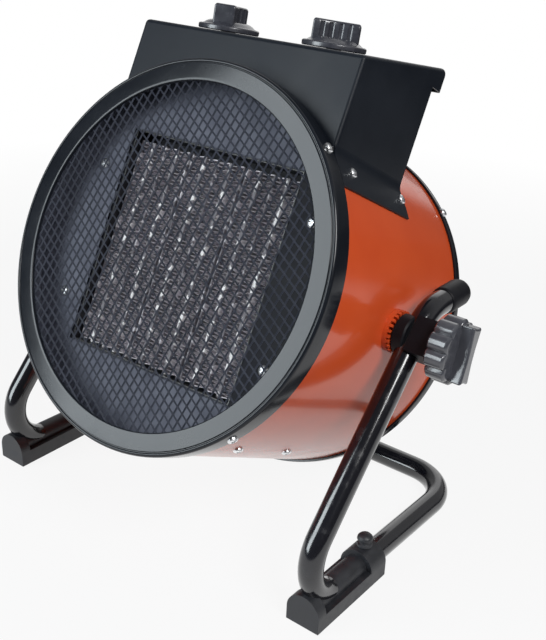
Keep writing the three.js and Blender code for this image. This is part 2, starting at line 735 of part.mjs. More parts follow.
/** The box seen from the side; the wall is how far it lies inside the sheet's outside. */
function boxSide(wall) {
  const drop = wall / Math.cos(BOX_SLOPE);
  const front = BOX_FRONT + wall;
  const rear = LIP_REAR - wall;
  const lipBottom = topHeight(LIP_REAR) - LIP_HEIGHT;
  const base = SHELL_RADIUS / 2;
  const open = wall > 0 ? 2 * wall : 0; // the cavity runs out through the open rear
  return roundedPolygon([
    [front, base],
    [front, topHeight(front) - drop, BOX_FOLD / 2],
    [rear, topHeight(rear) - drop, LIP_FOLD - wall],
    [rear, lipBottom - open],
    [BOX_REAR + open, lipBottom - open],
    [BOX_REAR + open, base],
  ]);
}

function boxPlan(wall) {
  const half = BOX_HALF_WIDTH - wall;
  const front = BOX_FRONT + wall;
  const rear = LIP_REAR + OVERRUN;
  const fold = BOX_FOLD - wall;
  return roundedPolygon([[-half, front, fold], [half, front, fold], [half, rear], [-half, rear]]);
}

function boxBlock(wall) {
  const half = BOX_HALF_WIDTH + OVERRUN;
  const side = alongX(boxSide(wall), -half, half, 3);
  const plan = alongZ(boxPlan(wall), 0, 2 * BOX_FRONT_TOP, 3);
  return common(side, plan);
}

/** The side flange, rolled to lie on the shell. */
function boxFlange() {
  const inner = BARREL_CLEAR;
  const outer = inner + BOX_SHEET;
  const upper = Math.acos((BOX_HALF_WIDTH - BOX_SHEET / 2) / outer);
  const shape = new THREE.Shape();
  shape.absarc(0, 0, outer, FLANGE_ANGLE, upper, false);
  shape.absarc(0, 0, inner, upper, FLANGE_ANGLE, true);
  return alongY(shape, BOX_FRONT, BOX_REAR - BACK_PANEL_INSET, 4);
}

/** Moves a piece made round the Z axis onto the sloping top, at one knob's place. */
function atKnob(geometry, side) {
  return geometry.rotateX(BOX_SLOPE).translate(side * KNOB_SPACING, KNOB_Y, topHeight(KNOB_Y));
}

function controlBoxCover() {
  const barrel = barAlongY(BARREL_CLEAR, -2 * BOX_DEPTH, 2 * BOX_DEPTH, BARREL_SEGMENTS);
  const shell = cut(boxBlock(0), boxBlock(BOX_SHEET), barrel);
  const flange = boxFlange();
  const bushHole = barAlongZ(BUSH_RADIUS + CLEARANCE, -OVERRUN, OVERRUN);
  const holes = [-1, 1].map((side) => atKnob(bushHole.clone(), side));
  return cut(joined(shell, flange, mirrored(flange)), ...holes);
}

function controlBoxBack() {
  const half = BOX_HALF_WIDTH - BOX_SHEET - CLEARANCE;
  const rear = BOX_REAR - BACK_PANEL_INSET;
  const front = rear - BOX_SHEET;
  const top = topHeight(front) - BOX_SHEET / Math.cos(BOX_SLOPE) - CLEARANCE;
  const sheet = alongY(rectangle(2 * half, top, 0, top / 2), front, rear);
  const barrel = barAlongY(BARREL_CLEAR, front - OVERRUN, rear + OVERRUN, BARREL_SEGMENTS);
  const glandHole = barAlongY(GLAND_RADIUS + CLEARANCE, front - OVERRUN, rear + OVERRUN);
  return cut(sheet, barrel, glandHole.translate(GLAND_PLACE.x, 0, GLAND_PLACE.y));
}

/** A flanged bush for the supply cord. */
function cableGland() {
  const face = BOX_REAR - BACK_PANEL_INSET + CLEARANCE;
  const inside = face - CLEARANCE - BOX_SHEET - OVERRUN;
  const gland = turnedRing([
    [GLAND_BORE, inside],
    [GLAND_RADIUS, inside],
    [GLAND_RADIUS, face],
    [GLAND_COLLAR.x, face],
    [GLAND_COLLAR.x, face + GLAND_COLLAR.y],
    [GLAND_RADIUS, face + GLAND_LENGTH],
    [GLAND_BORE, face + GLAND_LENGTH],
  ], 12);
  return gland.translate(GLAND_PLACE.x, 0, GLAND_PLACE.y);
}

/** A rotary switch or thermostat: a case under the top plate with a threaded bush. */
function rotarySwitch(size) {
  const top = -BOX_SHEET - CLEARANCE;
  const box = new THREE.BoxGeometry(size.x, size.y, size.z).translate(0, 0, top - size.z / 2);
  const bush = barAlongZ(BUSH_RADIUS, top - 1, BUSH_LENGTH);
  const bore = barAlongZ(SPINDLE_RADIUS + CLEARANCE, top - size.z / 2, OVERRUN);
  const terminals = [-1, 0, 1].map((i) => {
    const blade = new THREE.BoxGeometry(TERMINAL_BLADE.x, TERMINAL_BLADE.y, TERMINAL_BLADE.z);
    return blade.translate(i * size.x / 3, 0, top - size.z - TERMINAL_BLADE.z / 3);
  });
  return cut(joined(box, bush, ...terminals), bore);
}

function spindle(size) {
  return barAlongZ(SPINDLE_RADIUS, -BOX_SHEET - size.z / 2, SPINDLE_REACH);
}

/** A round skirt with a raised bar grip, whose long faces are hollowed for the fingers. */
function rotaryKnob() {
  const skirt = turned([
    [0, KNOB_GAP],
    [KNOB_SKIRT_RADIUS, KNOB_GAP],
    [KNOB_SKIRT_RADIUS, KNOB_RIM_HEIGHT],
    [KNOB_SKIRT_RADIUS - KNOB_CORNER, KNOB_RIM_HEIGHT + KNOB_CORNER],
    [KNOB_GRIP_WIDTH - KNOB_CORNER, KNOB_SKIRT_HEIGHT],
    [0, KNOB_SKIRT_HEIGHT],
  ], 20).rotateX(Math.PI / 2);
  const [half, wide, corner] = [KNOB_GRIP_LENGTH / 2, KNOB_GRIP_WIDTH / 2, KNOB_CORNER];
  const waist = wide - KNOB_GRIP_WAIST;
  const grip = new THREE.Shape();
  grip.moveTo(-half, -wide + corner);
  grip.quadraticCurveTo(-half, -wide, -half + corner, -wide);
  grip.quadraticCurveTo(0, -waist, half - corner, -wide);
  grip.quadraticCurveTo(half, -wide, half, -wide + corner);
  grip.lineTo(half, wide - corner);
  grip.quadraticCurveTo(half, wide, half - corner, wide);
  grip.quadraticCurveTo(0, waist, -half + corner, wide);
  grip.quadraticCurveTo(-half, wide, -half, wide - corner);
  const bar = alongZ(grip, KNOB_RIM_HEIGHT, KNOB_HEIGHT, 3);
  const bore = barAlongZ(SPINDLE_RADIUS + CLEARANCE, -OVERRUN, SPINDLE_REACH + 1);
  const bushRecess = barAlongZ(BUSH_RADIUS + 2 * CLEARANCE, -OVERRUN, BUSH_LENGTH + 1);
  return cut(joined(skirt, bar), bore, bushRecess);
}

function buildControlBox(heater) {
  part(heater, 'control_box_cover', controlBoxCover(), BLACK_POWDER());
  part(heater, 'control_box_back', controlBoxBack(), BLACK_POWDER());
  part(heater, 'cable_gland', cableGland(), BLACK_PLASTIC());
  const { x, y, z } = TERMINAL_BLOCK;
  const block = new THREE.BoxGeometry(x, y, z).translate(0, TERMINAL_BLOCK_Y, BARREL_CLEAR + z / 2);
  part(heater, 'terminal_block', block, PALE_PLASTIC());
  const controls = [
    ['thermostat', -1, THERMOSTAT_TURN, THERMOSTAT_SIZE],
    ['selector', 1, SELECTOR_TURN, SELECTOR_SIZE],
  ];
  for (const [name, side, turn, size] of controls) {
    part(heater, `${name}_switch`, atKnob(rotarySwitch(size), side), PALE_PLASTIC());
    part(heater, `${name}_spindle`, atKnob(spindle(size), side), ZINC());
    part(heater, `${name}_knob`, atKnob(rotaryKnob().rotateZ(turn), side), BLACK_PLASTIC());
  }
}

// ---------------------------------------------------------------- tilt clamps

/** A disc with a toothed crown on the shell's side, its back rolled to the shell. */
function toothDisc() {
  const crown = DISC_FACE - TOOTH_HEIGHT;
  const disc = barAlongX(DISC_RADIUS - CLEARANCE, SHELL_RADIUS - OVERRUN, crown, 16);
  const outline = scallopedDisc(DISC_RADIUS, DISC_TEETH, TOOTH_NOTCH, 2);
  const teeth = alongX(outline, crown - CLEARANCE, DISC_FACE);
  const barrel = barAlongY(BARREL_CLEAR, -2 * DISC_RADIUS, 2 * DISC_RADIUS, BARREL_SEGMENTS);
  const bore = barAlongX(BOLT_RADIUS + CLEARANCE, 0, 2 * DISC_FACE);
  return cut(joined(disc, teeth), barrel, bore);
}

const CLAMP_BASE = SADDLE_FACE + CLEARANCE;

function clampBolt() {
  const headFace = SHELL_BORE - CLEARANCE - 1; // the shell curves in under the head
  const head = barAlongX(BOLT_HEAD_RADIUS, headFace - BOLT_HEAD_HEIGHT, headFace, 6);
  const shank = barAlongX(BOLT_RADIUS, headFace - 1, CLAMP_BASE + BOLT_REACH);
  return joined(head, shank);
}

/** A round outline with a notch before each lobe. */
function scallopedDisc(radius, lobes, depth, perLobe = 3) {
  const points = [];
  for (let i = 0; i < lobes * perLobe; i += 1) {
    const angle = 2 * Math.PI * i / (lobes * perLobe);
    const reach = i % perLobe === 0 ? radius - depth : radius;
    points.push([reach * Math.cos(angle), reach * Math.sin(angle)]);
  }
  return polygon(points);
}

/** A hand nut: a scalloped round base with a wide bar across its outer end. */
function clampKnob() {
  const shoulder = CLAMP_BASE + CLAMP_BASE_HEIGHT;
  const outer = shoulder + CLAMP_GRIP_HEIGHT;
  const outline = scallopedDisc(CLAMP_BASE_RADIUS, CLAMP_LOBES, CLAMP_NOTCH);
  const base = alongX(outline, CLAMP_BASE, shoulder);
  const [half, wide] = [CLAMP_GRIP_LENGTH / 2, CLAMP_GRIP_WIDTH / 2];
  const grip = new THREE.Shape();
  grip.moveTo(-wide, -half);
  grip.quadraticCurveTo(0, -half + CLAMP_GRIP_END, wide, -half);
  grip.quadraticCurveTo(wide - CLAMP_GRIP_WAIST, 0, wide, half);
  grip.quadraticCurveTo(0, half - CLAMP_GRIP_END, -wide, half);
  grip.quadraticCurveTo(-wide + CLAMP_GRIP_WAIST, 0, -wide, -half);
  const bar = alongX(grip, shoulder - 1, outer, 5).rotateX(-CLAMP_TURN);
  const bore = barAlongX(BOLT_RADIUS + CLEARANCE, CLAMP_BASE - OVERRUN, CLAMP_BASE + BOLT_REACH + 1);
  return cut(joined(base, bar), bore);
}

function buildClamps(heater) {
  pair(heater, 'tooth_disc', toothDisc(), ORANGE_ENAMEL);
  pair(heater, 'clamp_bolt', clampBolt(), ZINC);
  pair(heater, 'clamp_knob', clampKnob(), BLACK_PLASTIC);
}

// ---------------------------------------------------------------- stand

/** The centre line of the whole tube, from the right upper end round to the left one. */
function tubeLine(stepsPerBend) {
  const rise = STUB_RISE / Math.tan(LEG_ANGLE);
  const reach = (PIVOT_HEIGHT - FOOT_TUBE_HEIGHT) / Math.tan(LEG_ANGLE);
  const half = [
    [STUB_REAR, PIVOT_HEIGHT + STUB_RISE],
    [rise, PIVOT_HEIGHT + STUB_RISE],
    [-reach, FOOT_TUBE_HEIGHT],
    [CROSSBAR_Y, TUBE_RADIUS],
  ];
  const right = half.map(([y, z]) => new THREE.Vector3(LEG_X, y, z));
  const left = half.map(([y, z]) => new THREE.Vector3(-LEG_X, y, z)).reverse();
  const bends = [BEND_TOP, BEND_FOOT, BEND_REAR];
  return new BentLine([...right, ...left], [...bends, ...bends.toReversed()], stepsPerBend);
}

function tubeSection(radius, sides = 12) {
  const points = [];
  for (let i = 0; i < sides; i += 1) {
    const angle = 2 * Math.PI * (i + 0.5) / sides;
    points.push([radius * Math.cos(angle), radius * Math.sin(angle)]);
  }
  return polygon(points);
}

function standTube() {
  const section = tubeSection(TUBE_RADIUS);
  section.holes.push(tubeSection(TUBE_RADIUS - TUBE_WALL, 6));
  const tube = sweptAlong(tubeLine(BEND_STEPS), section);
  const boltHole = barAlongX(BOLT_RADIUS + CLEARANCE, -2 * LEG_X, 2 * LEG_X);
  return cut(tube, boltHole.translate(0, 0, PIVOT_HEIGHT));
}

/** The space that the tube needs inside the pieces that hold it. */
function tubeSpace() {
  return sweptAlong(tubeLine(BEND_STEPS), tubeSection(TUBE_RADIUS + CLEARANCE));
}

function tubeCap() {
  const inner = TUBE_RADIUS + CLEARANCE;
  const outer = inner + TUBE_CAP_WALL;
  const cap = turnedRing([
    [inner, 0],
    [outer, 0],
    [outer, TUBE_CAP_LENGTH - TUBE_CAP_CHAMFER],
    [outer - TUBE_CAP_CHAMFER, TUBE_CAP_LENGTH],
    [0, TUBE_CAP_LENGTH],
    [0, TUBE_CAP_LENGTH - TUBE_CAP_END],
    [inner, TUBE_CAP_LENGTH - TUBE_CAP_END],
  ], 12);
  const start = STUB_REAR + CLEARANCE - (TUBE_CAP_LENGTH - TUBE_CAP_END);
  return cap.translate(LEG_X, start, PIVOT_HEIGHT + STUB_RISE);
}

/** A moulded shoe: arched block, open on top in the middle, a sleeve behind. */
function foot(space) {
  const half = FOOT_WIDTH / 2;
  const outline = new THREE.Shape();
  outline.moveTo(-half, 0);
  outline.lineTo(half, 0);
  outline.lineTo(half, FOOT_HEIGHT - half);
  outline.absarc(0, FOOT_HEIGHT - half, half, 0, Math.PI, false);
  const rear = FOOT_FRONT + FOOT_LENGTH;
  const block = alongY(outline, FOOT_FRONT, rear, 8).translate(LEG_X, 0, 0);
  const window = rectangle(2 * FOOT_WIDTH, FOOT_HEIGHT, LEG_X, FOOT_WALL_HEIGHT + FOOT_HEIGHT / 2);
  const opening = alongY(window, FOOT_FRONT + FOOT_END_WALL, rear - FOOT_SLEEVE);
  const pegHole = barAlongZ(PEG_RADIUS + CLEARANCE, FOOT_TUBE_HEIGHT, FOOT_HEIGHT + OVERRUN, 10);
  return cut(block, opening, space, pegHole.translate(LEG_X, rear - FOOT_SLEEVE / 2, 0));
}

/** A push-in peg with a collar and a mushroom cap. */
function footPeg() {
  const bottom = FOOT_TUBE_HEIGHT + TUBE_RADIUS + 2 * CLEARANCE;
  const collar = FOOT_HEIGHT + CLEARANCE;
  const top = FOOT_HEIGHT + PEG_HEIGHT;
  const cap = top - PEG_CAP_HEIGHT;
  const peg = turned([
    [0, bottom],
    [PEG_RADIUS, bottom],
    [PEG_RADIUS, collar],
    [PEG_CAP_RADIUS, collar],
    [PEG_CAP_RADIUS, collar + PEG_COLLAR],
    [PEG_RADIUS, collar + PEG_COLLAR],
    [PEG_RADIUS, cap],
    [PEG_CAP_RADIUS, cap],
    [PEG_RADIUS, top],
    [0, top],
  ], 10);
  const y = FOOT_FRONT + FOOT_LENGTH - FOOT_SLEEVE / 2;
  return peg.rotateX(Math.PI / 2).translate(LEG_X, y, 0);
}

/** The inner washer pad: round, hollowed for the tube, flat towards the toothed disc. */
function pivotPad(space) {
  const face = DISC_FACE + CLEARANCE;
  const pad = barAlongX(PAD_RADIUS, face, LEG_X - 1, 16);
  const bore = barAlongX(BOLT_RADIUS + CLEARANCE, 0, 2 * LEG_X);
  return cut(cut(pad, bore).translate(0, 0, PIVOT_HEIGHT), space);
}

/** The outer saddle: a block that hugs the leg and gives the knob a flat seat. */
function pivotSaddle(space) {
  const from = LEG_X + 1;
  const depth = SADDLE_FACE - from;
  const block = new THREE.BoxGeometry(depth, SADDLE_WIDTH, SADDLE_LENGTH);
  block.translate(from + depth / 2, 0, 0).rotateX(LEG_ANGLE - Math.PI / 2);
  const bore = barAlongX(BOLT_RADIUS + CLEARANCE, 0, 2 * SADDLE_FACE);
  return cut(cut(block, bore).translate(0, 0, PIVOT_HEIGHT), space);
}

function buildStand(stand) {
  const space = tubeSpace();
  part(stand, 'stand_tube', standTube(), BLACK_GLOSS());
  pair(stand, 'tube_cap', tubeCap(), DARK_RUBBER);
  pair(stand, 'foot', foot(space), DARK_RUBBER);
  pair(stand, 'foot_peg', footPeg(), DARK_RUBBER);
  pair(stand, 'pivot_pad', pivotPad(space), BLACK_PLASTIC);
  pair(stand, 'pivot_saddle', pivotSaddle(space), BLACK_PLASTIC);
}

// ---------------------------------------------------------------- assembly

const airHeater = new THREE.Group();

const stand = new THREE.Group();
buildStand(stand);

const heater = new THREE.Group();
heater.position.z = PIVOT_HEIGHT;
heater.rotation.x = -TILT;
buildBarrel(heater);
buildElement(heater);
buildFan(heater);
buildControlBox(heater);
buildClamps(heater);

airHeater.add(stand, heater);

// The origin lies on the ground under the middle of the outline.
airHeater.updateMatrixWorld(true);
const outline = new THREE.Box3().setFromObject(airHeater, true);
airHeater.position.y = -(outline.min.y + outline.max.y) / 2;

export default airHeater;
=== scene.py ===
"""Looks of a portable forced air heater: a round steel barrel in a bent tube stand.

Each sub-assembly is a class that holds its sizes in metres, models its pieces in the barrel's or the
stand's own frame, dresses them in procedural finishes and lets them ride on the body that carries them.
"""

import json
import logging
import math
from collections.abc import Callable, Iterable
from dataclasses import dataclass
from enum import Enum
from typing import ClassVar

import bmesh
import bpy
from mathutils import Matrix, Vector


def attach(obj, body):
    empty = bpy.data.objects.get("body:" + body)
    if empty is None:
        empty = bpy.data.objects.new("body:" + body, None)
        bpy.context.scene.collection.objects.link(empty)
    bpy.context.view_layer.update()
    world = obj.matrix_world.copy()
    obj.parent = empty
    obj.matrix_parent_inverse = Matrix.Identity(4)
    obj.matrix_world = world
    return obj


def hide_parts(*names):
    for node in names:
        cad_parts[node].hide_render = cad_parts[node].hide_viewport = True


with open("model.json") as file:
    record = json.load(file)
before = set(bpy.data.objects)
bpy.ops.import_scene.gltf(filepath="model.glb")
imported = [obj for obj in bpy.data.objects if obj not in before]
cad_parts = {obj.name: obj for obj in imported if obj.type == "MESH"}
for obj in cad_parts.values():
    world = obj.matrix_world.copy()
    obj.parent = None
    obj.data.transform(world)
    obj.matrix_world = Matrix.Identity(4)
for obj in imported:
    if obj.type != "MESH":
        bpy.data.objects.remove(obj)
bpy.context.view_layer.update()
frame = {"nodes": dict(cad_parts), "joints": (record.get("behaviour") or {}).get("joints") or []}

LOG = logging.getLogger("air_heater")
MM = 0.001
TAU = 2 * math.pi
STILL = Matrix.Identity(4)
MIRROR = Matrix.Scale(-1, 4, (1, 0, 0))
ALONG_Y = Matrix.Rotation(-math.pi / 2, 4, "X")
ALONG_X = Matrix.Rotation(math.pi / 2, 4, "Y")

Piece = bpy.types.Object
Triple = tuple[float, float, float]
Colour = Triple
Spots = Iterable[tuple[float, ...]]


def in_mm(*spots: tuple[float, ...]) -> Spots:
    """Groups of sizes given in millimetres, as metres."""
    return tuple(tuple(size * MM for size in spot) for spot in spots)


class Hand(Enum):
    """The side of the heater that a mirrored piece is on."""

    RIGHT = 1
    LEFT = -1

    @property
    def word(self) -> str:
        """The ending of the side's node names."""
        return self.name.lower()

    @property
    def place(self) -> Matrix:
        """What takes a right hand piece to this side."""
        return STILL if self is Hand.RIGHT else MIRROR


class Cut(Enum):
    """How a tool solid changes the piece it is used on."""

    REMOVE = "DIFFERENCE"
    ADD = "UNION"


class Part(Enum):
    """The parts of a mesh that can be picked, by the name of their list."""

    FACE = "faces"
    EDGE = "edges"
    VERT = "verts"

    def places(self, part: object) -> tuple[Vector, ...]:
        """A face's middle and normal, an edge's two ends, or a point's place."""
        if self is Part.FACE:
            return part.calc_center_median(), part.normal
        return tuple(point.co for point in part.verts) if self is Part.EDGE else (part.co,)


# ---------------------------------------------------------------- places taken from the frame


def joint_named(name: str) -> dict:
    """The frame's joint of that name."""
    return next(joint for joint in frame["joints"] if joint["name"] == name)


PIVOT = Vector(joint_named("tilt")["pos_m"])
BARREL_AXIS = Vector(joint_named("fan_spin")["axis"])
TILT = math.atan2(-BARREL_AXIS.z, BARREL_AXIS.y)
BARREL_FRAME = Matrix.Translation(PIVOT) @ Matrix.Rotation(-TILT, 4, "X")
STAND_FRAME = Matrix.Translation((0, PIVOT.y, 0))


# ---------------------------------------------------------------- modelling


class Bench:
    """The few bench operations that every piece is made with, all through Blender's operators."""

    @staticmethod
    def clear() -> None:
        """Leaves edit mode and deselects everything."""
        if bpy.context.object and bpy.context.object.mode != "OBJECT":
            Bench.close()
        bpy.ops.object.select_all(action="DESELECT")

    @staticmethod
    def take(piece: Piece) -> Piece:
        """Makes a piece the only selected one, and active."""
        Bench.clear()
        piece.select_set(True)
        bpy.context.view_layer.objects.active = piece
        return piece

    @staticmethod
    def named(name: str) -> Piece:
        """Names the active object and its mesh, and applies its place."""
        piece = bpy.context.active_object
        piece.name = name
        piece.data.name = name
        bpy.ops.object.transform_apply(location=True, rotation=True, scale=True)
        return piece

    @staticmethod
    def edit(piece: Piece, everything: bool = True) -> None:
        """Opens a piece in edit mode, with all of it selected or nothing."""
        Bench.take(piece)
        bpy.ops.object.mode_set(mode="EDIT")
        bpy.ops.mesh.select_all(action="SELECT" if everything else "DESELECT")

    @staticmethod
    def close() -> None:
        """Leaves edit mode."""
        bpy.ops.object.mode_set(mode="OBJECT")

    @staticmethod
    def pick(piece: Piece, kind: Part, test: Callable[..., bool]) -> None:
        """Selects the parts of a mesh that pass a test, in edit mode.

        Args:
            piece: the object in edit mode.
            kind: which parts are tested.
            test: takes a face's middle and normal, an edge's two ends or a point's place.
        """
        bpy.ops.mesh.select_mode(type=kind.name)
        bpy.ops.mesh.select_all(action="DESELECT")
        shape = bmesh.from_edit_mesh(piece.data)
        for part in getattr(shape, kind.value):
            if test(*kind.places(part)):
                part.select_set(True)
        shape.select_flush_mode()
        bmesh.update_edit_mesh(piece.data)

    @staticmethod
    def scaled(*factors: float, about: float = 0) -> None:
        """Resizes what is picked about a height on the Z axis."""
        bpy.ops.transform.resize(value=factors, center_override=(0, 0, about))

    @staticmethod
    def paint(piece: Piece, index: int, test: Callable[[Vector, Vector], bool]) -> None:
        """Gives the faces that pass a test another of the piece's finishes.

        Args:
            piece: a dressed object.
            index: of the finish, in the order it was dressed.
            test: takes a face's middle and its normal.
        """
        Bench.edit(piece, everything=False)
        Bench.pick(piece, Part.FACE, test)
        piece.active_material_index = index
        bpy.ops.object.material_slot_assign()
        Bench.close()

    @staticmethod
    def face_out(piece: Piece) -> Piece:
        """Merges doubled points and turns every face outwards."""
        Bench.edit(piece)
        bpy.ops.mesh.remove_doubles(threshold=0.002 * MM)
        bpy.ops.mesh.normals_make_consistent(inside=False)
        Bench.close()
        return piece

    @staticmethod
    def block(name: str, low: Iterable[float], high: Iterable[float]) -> Piece:
        """A box between two corners, as a start for shaping.

        Args:
            name: the piece's name.
            low: its lowest corner.
            high: its highest corner.

        Returns:
            The box.
        """
        low, high = Vector(low), Vector(high)
        Bench.clear()
        bpy.ops.mesh.primitive_cube_add(size=1, location=(low + high) / 2)
        bpy.context.active_object.scale = high - low
        return Bench.named(name)

    @staticmethod
    def bar(name: str, radius: float, start: Iterable[float], end: Iterable[float], sides: int = 48
            ) -> Piece:
        """A round bar between two points.

        Args:
            name: the piece's name.
            radius: of the bar.
            start: the middle of one end.
            end: the middle of the other.
            sides: of its section.

        Returns:
            The bar.
        """
        start, end = Vector(start), Vector(end)
        Bench.clear()
        bpy.ops.mesh.primitive_cylinder_add(
            vertices=sides, radius=radius, depth=(end - start).length, location=(start + end) / 2,
            rotation=(end - start).to_track_quat("Z", "Y").to_euler())
        return Bench.named(name)

    @staticmethod
    def turned(name: str, profile: Spots, segments: int = 96, ring: bool = False) -> Piece:
        """A shape turned about Z: a circle that is extruded and resized along a profile.

        Args:
            name: the piece's name.
            profile: pairs of radius and height, each radius above zero.
            segments: round the axis.
            ring: joins the last circle to the first, in place of closing both ends.

        Returns:
            The turned piece.
        """
        profile = list(profile)
        Bench.clear()
        radius, height = profile[0]
        bpy.ops.mesh.primitive_circle_add(
            vertices=segments, radius=radius, location=(0, 0, height),
            fill_type="NOTHING" if ring else "NGON")
        piece = Bench.named(name)
        Bench.edit(piece, everything=False)
        bpy.ops.mesh.select_mode(type="EDGE")
        bpy.ops.mesh.select_all(action="SELECT")
        for next_radius, next_height in profile[1:] + (profile[:1] if ring else []):
            bpy.ops.mesh.extrude_edges_move(
                TRANSFORM_OT_translate={"value": (0, 0, next_height - height)})
            growth = next_radius / radius
            Bench.scaled(growth, growth, 1, about=next_height)
            radius, height = next_radius, next_height
        if not ring:
            bpy.ops.mesh.edge_face_add()
        Bench.close()
        return Bench.face_out(piece)

    @staticmethod
    def moved(piece: Piece, place: Matrix) -> Piece:
        """Moves a piece and keeps its new place in its mesh, with its faces outwards.

        Args:
            piece: the piece, at the origin.
            place: where it goes. A mirroring place is allowed.

        Returns:
            The piece.
        """
        Bench.take(piece)
        piece.matrix_world = place @ piece.matrix_world
        bpy.ops.object.transform_apply(location=True, rotation=True, scale=True)
        if place.to_3x3().determinant() < 0:
            Bench.face_out(piece)
        return piece

    @staticmethod
    def copied(piece: Piece, name: str, place: Matrix = STILL) -> Piece:
        """A copy with its own mesh, moved to a place.

        Args:
            piece: what is copied.
            name: the copy's name.
            place: where the copy goes.

        Returns:
            The copy.
        """
        Bench.take(piece)
        bpy.ops.object.duplicate(linked=False)
        copy = bpy.context.active_object
        copy.name = name
        copy.data.name = name
        return Bench.moved(copy, place)

    @staticmethod
    def joined(name: str, pieces: list[Piece]) -> Piece:
        """Several objects as one.

        Args:
            name: the joined piece's name.
            pieces: what is joined.

        Returns:
            The joined piece.
        """
        Bench.take(pieces[0])
        for piece in pieces:
            piece.select_set(True)
        bpy.ops.object.join()
        return Bench.named(name)

    @staticmethod
    def use(piece: Piece, kind: str, **settings: object) -> Piece:
        """Adds one modifier and applies it.

        Args:
            piece: the object to change.
            kind: the modifier's type.
            settings: the modifier's values.

        Returns:
            The piece.
        """
        Bench.take(piece)
        modifier = piece.modifiers.new(kind.title(), kind)
        for key, value in settings.items():
            setattr(modifier, key, value)
        bpy.ops.object.modifier_apply(modifier=modifier.name)
        return piece

    @staticmethod
    def combine(piece: Piece, tool: Piece, how: Cut = Cut.REMOVE
                ) -> Piece:
        """Cuts or joins a piece with a tool solid, which is then thrown away."""
        Bench.use(piece, "BOOLEAN", object=tool, operation=how.value, solver="EXACT")
        bpy.data.objects.remove(tool)
        return piece

    @staticmethod
    def eased(piece: Piece, width: float, steps: int = 3, above: float = 35
              ) -> Piece:
        """Rounds the edges that are sharper than an angle, given in degrees."""
        return Bench.use(piece, "BEVEL", width=width, segments=steps, limit_method="ANGLE",
                         angle_limit=math.radians(above), miter_outer="MITER_ARC")

    @staticmethod
    def smooth(piece: Piece, below: float = 35) -> Piece:
        """Shades a piece smoothly across edges flatter than an angle in degrees; flats stay flat."""
        Bench.take(piece)
        bpy.ops.object.shade_smooth_by_angle(angle=math.radians(below))
        return Bench.use(piece, "WEIGHTED_NORMAL", keep_sharp=True)


# ---------------------------------------------------------------- materials


@dataclass(frozen=True)
class Wire:
    """A value in a material: one output socket, with arithmetic."""

    recipe: "Recipe"
    socket: bpy.types.NodeSocket

    def _maths(self, operation: str, first: object, second: object) -> "Wire":
        """Adds one Math node."""
        return self.recipe.node("ShaderNodeMath", {"operation": operation}, {0: first, 1: second})

    def __add__(self, other: object) -> "Wire":
        """This value plus another."""
        return self._maths("ADD", self, other)

    __radd__ = __add__

    def __sub__(self, other: object) -> "Wire":
        """This value less another."""
        return self._maths("SUBTRACT", self, other)

    def __rsub__(self, other: object) -> "Wire":
        """Another value less this one."""
        return self._maths("SUBTRACT", other, self)

    def __mul__(self, other: object) -> "Wire":
        """This value times another."""
        return self._maths("MULTIPLY", self, other)

    __rmul__ = __mul__

    def between(self, low: float, high: float) -> "Wire":
        """This value spread from nothing at low to one at high, and held between them."""
        inputs = {"Value": self, "From Min": low, "From Max": high}
        return self.recipe.node("ShaderNodeMapRange", {"clamp": True}, inputs)


